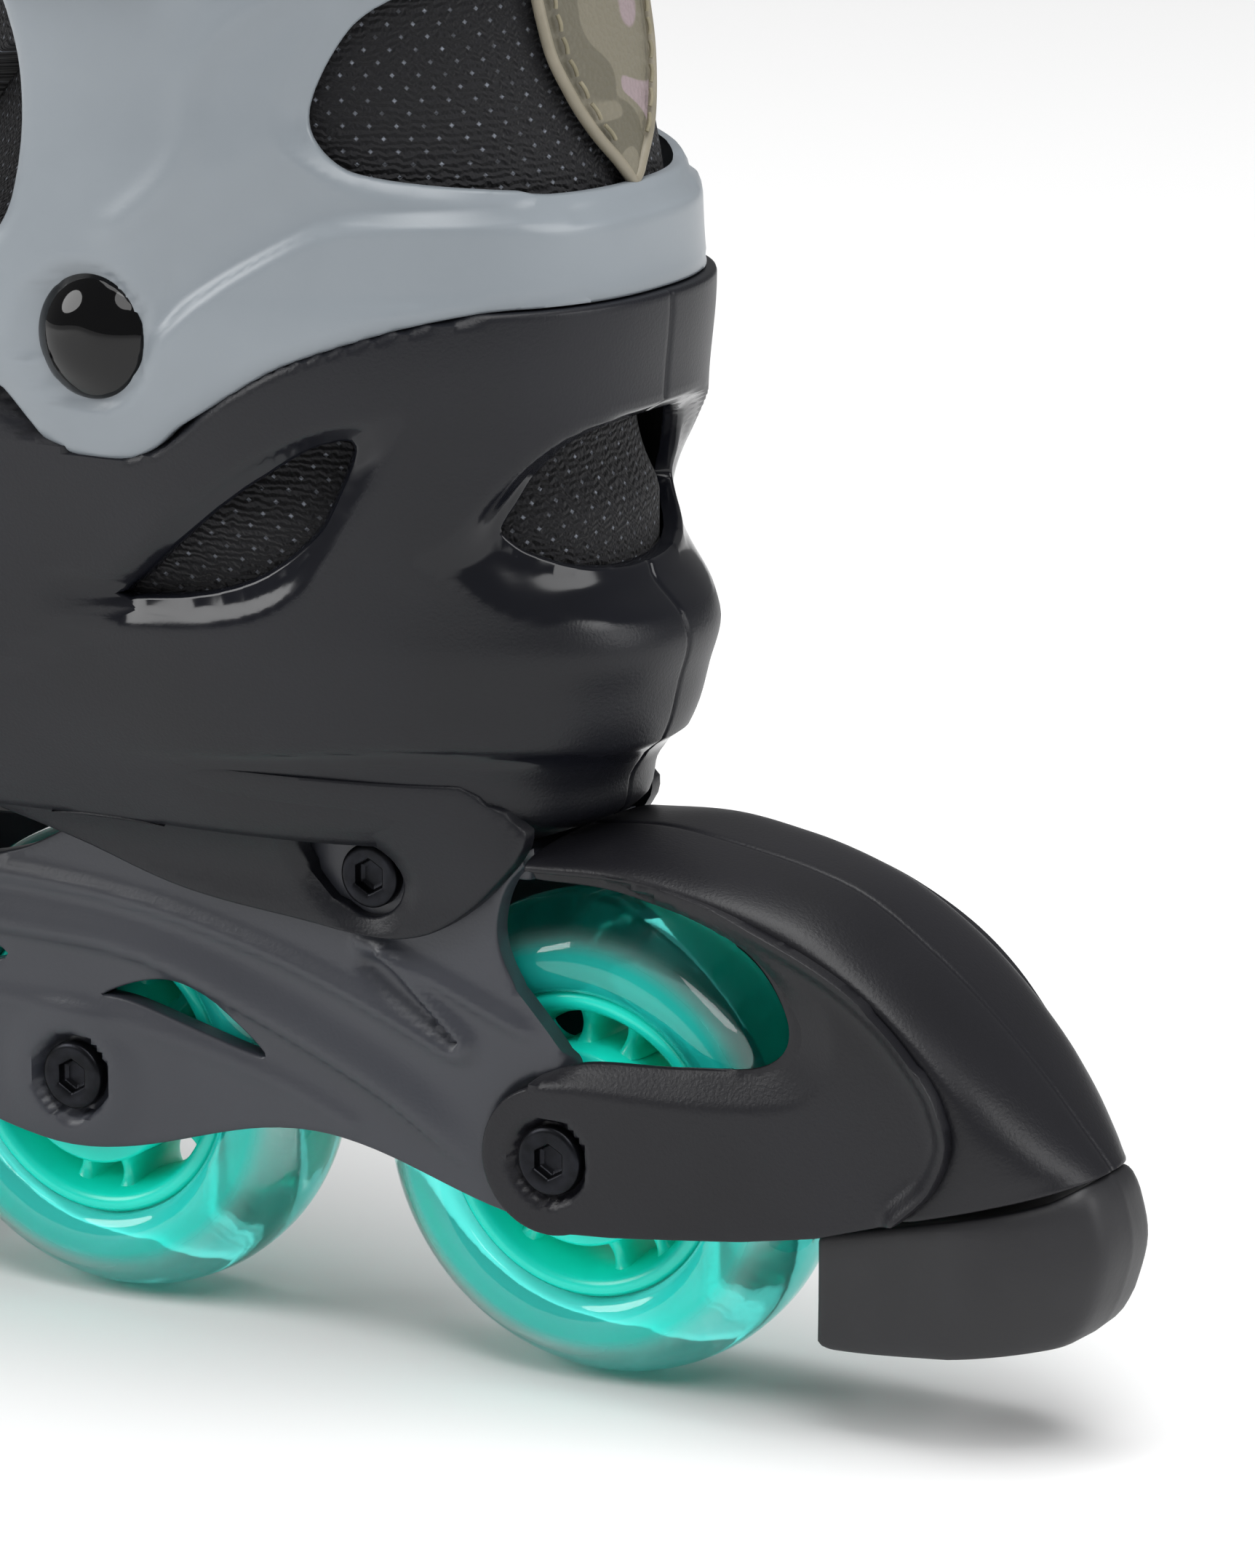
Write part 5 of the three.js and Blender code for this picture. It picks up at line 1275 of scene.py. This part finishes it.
soft_part("mesh_tongue_cuff", "tongue_cuff", "cuff", w, tongue_z, lambda z: leg_inset(z, 254),
          lambda p: np.minimum(
    inside_by(p[..., 0], p[..., 2], leg_zone), -beside_tongue(p, 78, 140, 0.0)), 5.0)

# %% The tongue's fold over the ankle
fold_zone = np.concatenate([arc_about(30, 34, 8, 8), arc_about(110, 8, 34, 12)])
fold_points, fold_quads, (u, v) = trimmed(
    w_steps(60, 90), np.linspace(140, 200, 46), lambda a, b: boot(a, b, 9.8 + 0.8 * np.sin(b * 0.9)),
    lambda p: np.minimum(inside_by(p[..., 0], p[..., 2], fold_zone), 30 - np.abs(p[..., 1])))
fold_patch = walled(fold_points, boot(u, v, 13.0), fold_quads,
                    {"cloth_mm": np.stack([around(u, v), v], -1)}, 0.9)
fold = piece("mesh_tongue_fold", [fold_patch], mesh_cloth, None, sharp=180)
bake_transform(fold)

# %% Footbed
w = w_steps(50, 50)
bed_ring = boot(w, 86.0, 10.6)
bed = closing_fan(bed_ring, spine_of(bed_ring, 34, 226), 14)
bed[..., 2] += 1.6 * (1 - np.linspace(0, 1, 14)[:, None]) ** 2 * (bed[..., 0] < 90)
bed_cloth = bed[..., :2] + 0
footbed_obj = piece("foam_footbed", [(bed, grid_quads(14, len(w)), {"cloth_mm": bed_cloth})], mesh_cloth,
                    "chassis", "footbed", wall=3.5)

# %% [markdown]
# ## Pull tab
# A pointed patch of printed leatherette is sewn to the back of the soft boot. It is edged with a round
# piping, and a row of short stitches runs inside the edge.

# %% Tubes along a path
def tube(path, radius, reference, sides=10, flat=1.0):
    """A round section carried along a path: p + r (n cos a + flat b sin a), n = tangent x reference."""
    path = np.asarray(path, float)
    tangent = np.gradient(path, axis=0)
    tangent /= np.linalg.norm(tangent, axis=1, keepdims=True)
    n = np.cross(tangent, np.broadcast_to(reference, path.shape))
    n /= np.linalg.norm(n, axis=1, keepdims=True)
    b = np.cross(n, tangent)
    angle = np.linspace(0, 2 * np.pi, sides, endpoint=False)[None, :, None]
    reach = np.full(len(path), float(radius))
    across = n[:, None] * np.cos(angle) + flat * b[:, None] * np.sin(angle)
    rings = path[:, None] + reach[:, None, None] * across
    rings = np.concatenate([path[:1, None] + 0 * rings[:1], rings, path[-1:, None] + 0 * rings[:1]])
    run = np.concatenate([[0], np.cumsum(np.linalg.norm(np.diff(path, axis=0), axis=1))])
    run = np.concatenate([run[:1], run, run[-1:]])
    cloth = np.stack(np.broadcast_arrays(run[:, None], np.linspace(0, 6.28 * radius, sides)[None]), -1)
    grid, quads, _ = outward((rings, grid_quads(len(rings), sides, False, True), {}))
    return grid, quads, {"cloth_mm": cloth}


def on_heel(y, z, inset):
    """The form's point at the heel with that y: w = asin((|y| / half)^(2.4 / 2)) / 90 deg."""
    reach = np.clip(np.abs(y) / (ankle_half(z) - inset), 0, 1) ** (heel_power / 2)
    return boot(np.sign(y) * np.arcsin(reach) / (np.pi / 2), z, inset)


# %% Pull tab
tab_half = through([(170.2, 0.4), (173, 3.0), (177.7, 7.6), (183.2, 11.1), (189.8, 13.6), (200, 14.4),
                    (235, 13.6), (256, 11.5),
                    (260.5, 7), (261.6, 0.4)])
tab_z = np.concatenate([np.linspace(170.2, 190, 22)[:-1], np.linspace(190, 254, 34)[:-1],
                        np.linspace(254, 261.6, 14)])
across = np.linspace(-1, 1, 25)
TZ, TA = np.meshgrid(tab_z, across, indexing="ij")
tab_y = TA * tab_half(TZ)
tab = on_heel(tab_y, TZ, 3.1 - 0.5 * (1 - TA ** 2))
piece("leatherette_pull_tab", [(tab, grid_quads(len(tab_z), 25)[:, ::-1],
                                {"cloth_mm": np.stack([tab_y, TZ], -1)})],
      tab_leather, "cuff", "pull_tab", wall=1.0)
edge_z = np.concatenate([tab_z, tab_z[::-1]])
edge_side = np.concatenate([np.ones(len(tab_z)), -np.ones(len(tab_z))])
edge = on_heel(edge_side * tab_half(edge_z), edge_z, 3.0)
edge = spline(edge[:-1], 260, True)
edge = np.concatenate([edge, edge[:1]])
piece("tab_piping", [tube(edge, 0.85, (-1.0, 0, 0.05), 10)], piping, "cuff")
stitch_z = np.concatenate([np.linspace(176, 256, 27), np.linspace(256, 176, 27)])
stitch_side = np.concatenate([np.ones(27), -np.ones(27)])
sew = on_heel(stitch_side * (tab_half(stitch_z) - 2.1), stitch_z, 2.3)
stitches = []
for start, end in zip(sew[:-1], sew[1:]):
    span = np.linalg.norm(end - start)
    if 1 < span < 6:
        t = np.linspace(0.14, 0.86, 6)[:, None]
        stitches.append(tube(start + (end - start) * t - (0.22, 0, 0) * np.sin(np.pi * (t - 0.14) / 0.72),
                             0.3, (-1.0, 0, 0.05), 6))
piece("tab_stitches", stitches, thread, "cuff")
print("stitches", len(stitches))

# %% [markdown]
# ## Brake
# The brake's arms straddle the rear wheel and meet behind it under a hood. The hood is a strip: its
# crown line runs over the middle and its crest line along each side, and a superellipse joins them.
# The arms are plates with a bevelled band round the wheel's window. A rubber pad hangs below.

# %% Hood
crown = [(3.4, 79.2), (-8, 80.2), (-22, 78.6), (-37, 75.2), (-50, 67.6), (-61, 58.5), (-68.5, 51),
         (-72.5, 46.5), (-75.6, 43), (-77.6, 40.6)]
crest = [(3.4, 76.5), (-10, 77), (-22, 75.5), (-35, 71.5), (-47, 65.5), (-55, 58.5), (-60, 51.5),
         (-61.5, 46), (-59.5, 40), (-54, 34.2)]
crest_y = [19.4, 19.4, 19.2, 18.6, 18, 17.6, 17.3, 17.2, 17.2, 17.4]
hood_lines = np.column_stack([crown, crest, crest_y])
station = np.arange(len(crown))
fine = np.linspace(0, len(crown) - 1, 90)
hood_path = np.column_stack([through(np.column_stack([station, line]))(fine) for line in hood_lines.T])
a = np.radians(np.sort(np.concatenate([np.linspace(-90, 90, 61), [-1.4, -0.7, 0.7, 1.4]])))[None, :]
bend = 2 / 2.3
c, s = np.clip(np.cos(a), 0, 1) ** bend, np.sign(np.sin(a)) * np.abs(np.sin(a)) ** bend
groove = 0.35 * np.exp(-(hood_path[:, 4:5] * s / 0.45) ** 2)
lean = hood_path[:, 0:2] - hood_path[:, 2:4]
lean_unit = lean / np.linalg.norm(lean, axis=1, keepdims=True)
hood = np.stack([hood_path[:, 2:3] + lean[:, 0:1] * c - lean_unit[:, 0:1] * groove, hood_path[:, 4:5] * s,
                 hood_path[:, 3:4] + lean[:, 1:2] * c - lean_unit[:, 1:2] * groove], -1)

# %% Arms
crest_line = hood_path[:, 2:4]
side_y = through([(-78, 17.2), (-61, 17.3), (-50, 17.8), (-37, 18.6), (-22, 19.2), (-8, 19.4), (14, 19.4)])
turn = np.radians(np.linspace(250, 435, 24))
arm_window = spline([(3, 46.3), (-5.5, 49.3), (-20, 50.5), (-33, 52.6), (-37, 58), (-33, 66), (-25, 71),
                     (-10, 74.8), (3.4, 75)], 80)
arm_outline = np.concatenate([[(-54, 34.2), (-41.5, 30.3), (-30, 28.2), (-10, 25.8)],
                              np.column_stack([10.3 * np.cos(turn), wheel_radius + 10.3 * np.sin(turn)]),
                              arm_window,
                              hood_path[:, 2:4]])
arm_band = spline([(10.5, 38), (8, 45), (0, 46), (-20, 46), (-33, 47), (-40, 49), (-44, 55), (-43, 62),
                   (-38, 66), (-30, 70), (-20, 74)], 90)


def arm_y(x, z):
    """The arm's outer face: the hood's side, falling by 2.2 from the band's line to the window's edge,
    with a raised lip along the crest and a well for the axle's bolt."""
    edge, band = distance_to(x, z, arm_window), distance_to(x, z, arm_band)
    inside = inside_by(x, z, np.concatenate([arm_band, [(3.4, 80), (30, 80), (30, 38)]])) > 0
    fall = 2.2 * np.where(inside, band / (band + edge + 1e-6), 0)
    lip = 2.3 * np.exp(-(distance_to(x, z, crest_line) / 1.8) ** 2) * smoothstep(x, -16, -36)
    well = 2.0 * (1 - smoothstep(np.hypot(x, z - wheel_radius), 5.6, 6.2))
    return side_y(x) - fall - well + lip


def arm_keep(x, z):
    """Positive inside the arm's outline and outside the axle's hole."""
    return np.minimum(inside_by(x, z, arm_outline), np.hypot(x, z - wheel_radius) - 4.1)


arms = [plate((-63, 12), (23, 78.5), 0.9, arm_y, arm_keep, side, 16.8) for side in (1, -1)]
piece("brake_arms", arms, brake_nylon, "chassis", "brake_housing")
hood_inner = hood - 2.4 * np.stack([lean_unit[:, 0:1] * c, s + 0 * hood[..., 0], lean_unit[:, 1:2] * c], -1)
piece("brake_hood", [walled(hood, hood_inner, grid_quads(*hood.shape[:2]), {}, 0.4)], brake_nylon,
      "chassis")

# %% Brake pad
pad_top = through([(-82, 42.2), (-77.6, 40.2), (-72, 37.2), (-60, 34.3), (-41.5, 29.9), (-39, 29.4)])
pad_bottom = through([(-82, 19.4), (-75, 16.8), (-60, 14.6), (-41, 13.2), (-38, 13.2)])
pad_back = through([(0, -76.2), (0.2, -79.2), (0.5, -80.9), (0.8, -79.6), (1, -77.6)])
ring_t = np.linspace(0, 1, 40)
f = (1 - np.cos(np.pi * ring_t)) / 2
half = through([(0, 13.6), (0.012, 15.0), (0.035, 15.6), (0.55, 15.6), (0.6, 15.2), (0.93, 9.0),
                (0.98, 6.6), (1, 0)])(f)
half[0] = 0.0
f = np.concatenate([f, f[::-1][1:-1]])
half = np.concatenate([half, -half[::-1][1:-1]])
v = np.concatenate([[0, 0.012, 0.035, 0.07], np.linspace(0.12, 0.93, 14), [0.97, 0.99, 1.0]])[:, None]
shrink = 1 - 0.07 * np.clip(1 - v / 0.07, 0, 1) ** 2 - 0.03 * np.clip((v - 0.93) / 0.07, 0, 1) ** 2
back = pad_back(v)
pad_x = -40 + (back + 40) * (0.5 + (f - 0.5) * shrink)
pad_yy = half * shrink
pad_grid = np.stack([pad_x, pad_yy + 0 * pad_x, pad_bottom(pad_x) + (pad_top(pad_x) - pad_bottom(pad_x))
                     * v], -1)


def flat_cap(ring, steps=8):
    """Rows that shrink a ring onto its own middle line, to close the pad's top or bottom."""
    t = np.linspace(0, 1, steps)[:, None]
    middle_line = np.column_stack([ring[:, 0], 0 * ring[:, 1], ring[:, 2]])
    return ring[None] + (middle_line - ring)[None] * t[..., None]


pad_all = np.concatenate([flat_cap(pad_grid[0])[::-1], pad_grid[1:-1], flat_cap(pad_grid[-1])])
piece("brake_pad_block", [outward((pad_all, grid_quads(*pad_all.shape[:2], False, True), {}))],
      brake_rubber, "chassis", "brake_pad")


# %% [markdown]
# ## Straps and buckles
# Two ratchet straps close the boot. A strap is a band on the form 2.4 mm out, with teeth across it on
# the outer side. A buckle is a moulded base with two cheeks, a steel pin and a lever. Its blocks are
# rounded boxes in the band's own coordinates, along it, across it and off the boot, bent onto the form.

# %% Bands on the form
bands = {"cuff": {"at": (66, 213), "along": (1, 0), "from": -22, "half": 17, "z": (201, 225),
                  "w": (0.5, 2.0)},
         "instep": {"at": (121, 130), "along": (0.62, 0.785), "from": -20, "half": 15, "z": (100, 178),
                    "w": (0.9, 2.0)}}


def band_place(band, x, z):
    """Along and across a band: the plane's coordinates turned to the band's direction."""
    (ax, az), (ux, uz) = band["at"], band["along"]
    return (x - ax) * ux + (z - az) * uz, (z - az) * ux - (x - ax) * uz


def strap_patches(band, outer_teeth=0.45):
    """The outer face lies 3.8 mm off the form, with teeth 0.45 sin^2(pi s / 3) on the buckle's side."""
    w = np.linspace(*band["w"], 150)
    z = np.linspace(*band["z"], int((band["z"][1] - band["z"][0]) / 1.0) + 1)

    def keep(p):
        s, c = band_place(band, p[..., 0], p[..., 2])
        return np.minimum(np.minimum(s - band["from"], 90 - s), 11 - np.abs(c))
    patches = []
    for side in (1, -1):
        def skin(a, b):
            bare = boot(side * a, b)
            s, c = band_place(band, bare[..., 0], bare[..., 2])
            teeth = outer_teeth * np.sin(np.pi * s / 3) ** 2 * (np.abs(c) < 8) * (s > 8) if side < 0 else 0
            return boot(side * a, b, -3.8 - teeth)
        points, quads, (u, v) = trimmed(w, z, skin, keep, lambda a, b: boot(side * a, b))
        s, c = band_place(band, points[..., 0], points[..., 2])
        cloth = {"cloth_mm": np.stack([c, s], -1)}
        patches.append(walled(points, boot(side * u, v, -2.4), quads if side > 0 else quads[:, ::-1], cloth,
                              0.3))
    return patches


def bent_block(band, s0, s1, c0, c1, h0, h1, power=7.0, rise=None):
    """A rounded box in (along, across, off) millimetres, bent onto the outer side of the form."""
    grid, quads, data = rounded_box(s0, s1, c0, c1, h0, h1, power)
    s, c, h = np.moveaxis(grid, -1, 0)
    if rise is not None:
        h = h + rise(s)
    (ax, az), (ux, uz) = band["at"], band["along"]
    x, z = ax + ux * s - uz * c, az + uz * s + ux * c
    return outward((np.stack([x, -(flank(x, z) + h), z], -1), quads, data))


# %% Straps, bases and levers
for name, band in bands.items():
    body = "cuff" if name == "cuff" else "chassis"
    piece(f"woven_{name}_strap", strap_patches(band), webbing, body, f"{name}_strap")
    half = band["half"]
    base = [bent_block(band, -half, half, -13.2, 13.2, 0.2, 1.7, 9.0)]
    base += [bent_block(band, -half, half, c0, c0 + 1.7, 0.2, 10.0, 5.0) for c0 in (11.5, -13.2)]
    piece(f"{name}_ratchet_base", base, buckle_plastic, body, f"{name}_buckle_base")
    heel, end = 5 - 1.9 - half, half + 8

    def lift(s, start=half):
        return 1.6 * smoothstep(s, start - 8, start + 8)
    lever = [bent_block(band, heel, end, -10.8, 10.8, 5.7, 9.1, 7.0, lift)]
    lever += [bent_block(band, s0, s0 + 1.6, -8, 8, 8.4, 9.8, 4.0, lift) for s0 in (half - 4, half - 0.5,
        half + 3)]
    piece(f"{name}_ratchet_lever", lever, buckle_plastic, f"{name}_lever", f"{name}_buckle_lever")

# %% [markdown]
# ## Lace
# One flat lace runs zigzag through a moulded strip along each side of the opening. Its path is a
# smooth curve through knots on the form at four rows, with a low oval section.

# %% Lace and its guides
rim_height = through([(104, 147.6), (110, 146), (140, 140.5), (170, 134.5), (196, 130), (212, 126.5)])
scan = np.arange(178, 100, -0.25)


def top_height(x, y):
    """The height at which the form is |y| wide on each side, scanning down from the top."""
    return scan[np.argmax(flank(np.full_like(scan, x), scan) > abs(y) + 0.01)]


knots = []
for row, x in enumerate((150, 163, 176, 189)):
    side = 1 if row % 2 == 0 else -1
    low_z, high_z = rim_height(x) - 7, rim_height(x) + 2
    over = [(flank(x, low_z) + 3.4, low_z), (flank(x, high_z) + 2.8, high_z), (15, top_height(x, 15) + 1),
            (0, top_height(x, 0) + 0.5)]
    knots += [(x, side * y, z) for y, z in over + [(-y, z) for y, z in over[:-1][::-1]]]
lace_path = spline(knots, 260)
piece("flat_lace", [tube(lace_path, 1.5, (0, 0, 1.0), 12, 0.7)], webbing, "chassis", "lace")
for word, side in (("left", 1), ("right", -1)):
    grid, quads, data = rounded_box(142, 197, 1.5, 12, 0.2, 5.6, 5.0)
    lugs = [rounded_box(x - 4.5, x + 4.5, 2.5, 11, 1, 6.4, 4.0) for x in (150, 163, 176, 189)]
    patches = []
    for grid, quads, data in [(grid, quads, data), *lugs]:
        x, drop, h = np.moveaxis(grid, -1, 0)
        z = rim_height(x) - drop
        patches.append(outward((np.stack([x, side * (flank(x, z) + h), z], -1), quads, data)))
    piece(f"moulded_lace_guide_{word}", patches, buckle_plastic, "chassis", f"lace_guide_{word}")

# %% [markdown]
# ## Parts kept from the CAD model
# Bearing spacers, buckle pins and the hidden screws already have their true turned shape, so they stay
# and only take a finish.

# %% Finishes of the kept parts
kept = {f"spacer_{number}": bright_steel for number in axles}
kept.update({"cuff_buckle_pin": bright_steel, "instep_buckle_pin": bright_steel, "brake_screw": black_oxide,
             "cuff_strap_screw": black_oxide, "instep_strap_screw": black_oxide})
for node, material in kept.items():
    cad_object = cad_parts[node]
    for slot in cad_object.material_slots:
        slot.material = material
    if not cad_object.material_slots:
        cad_object.data.materials.append(material)
print("kept", len(kept))
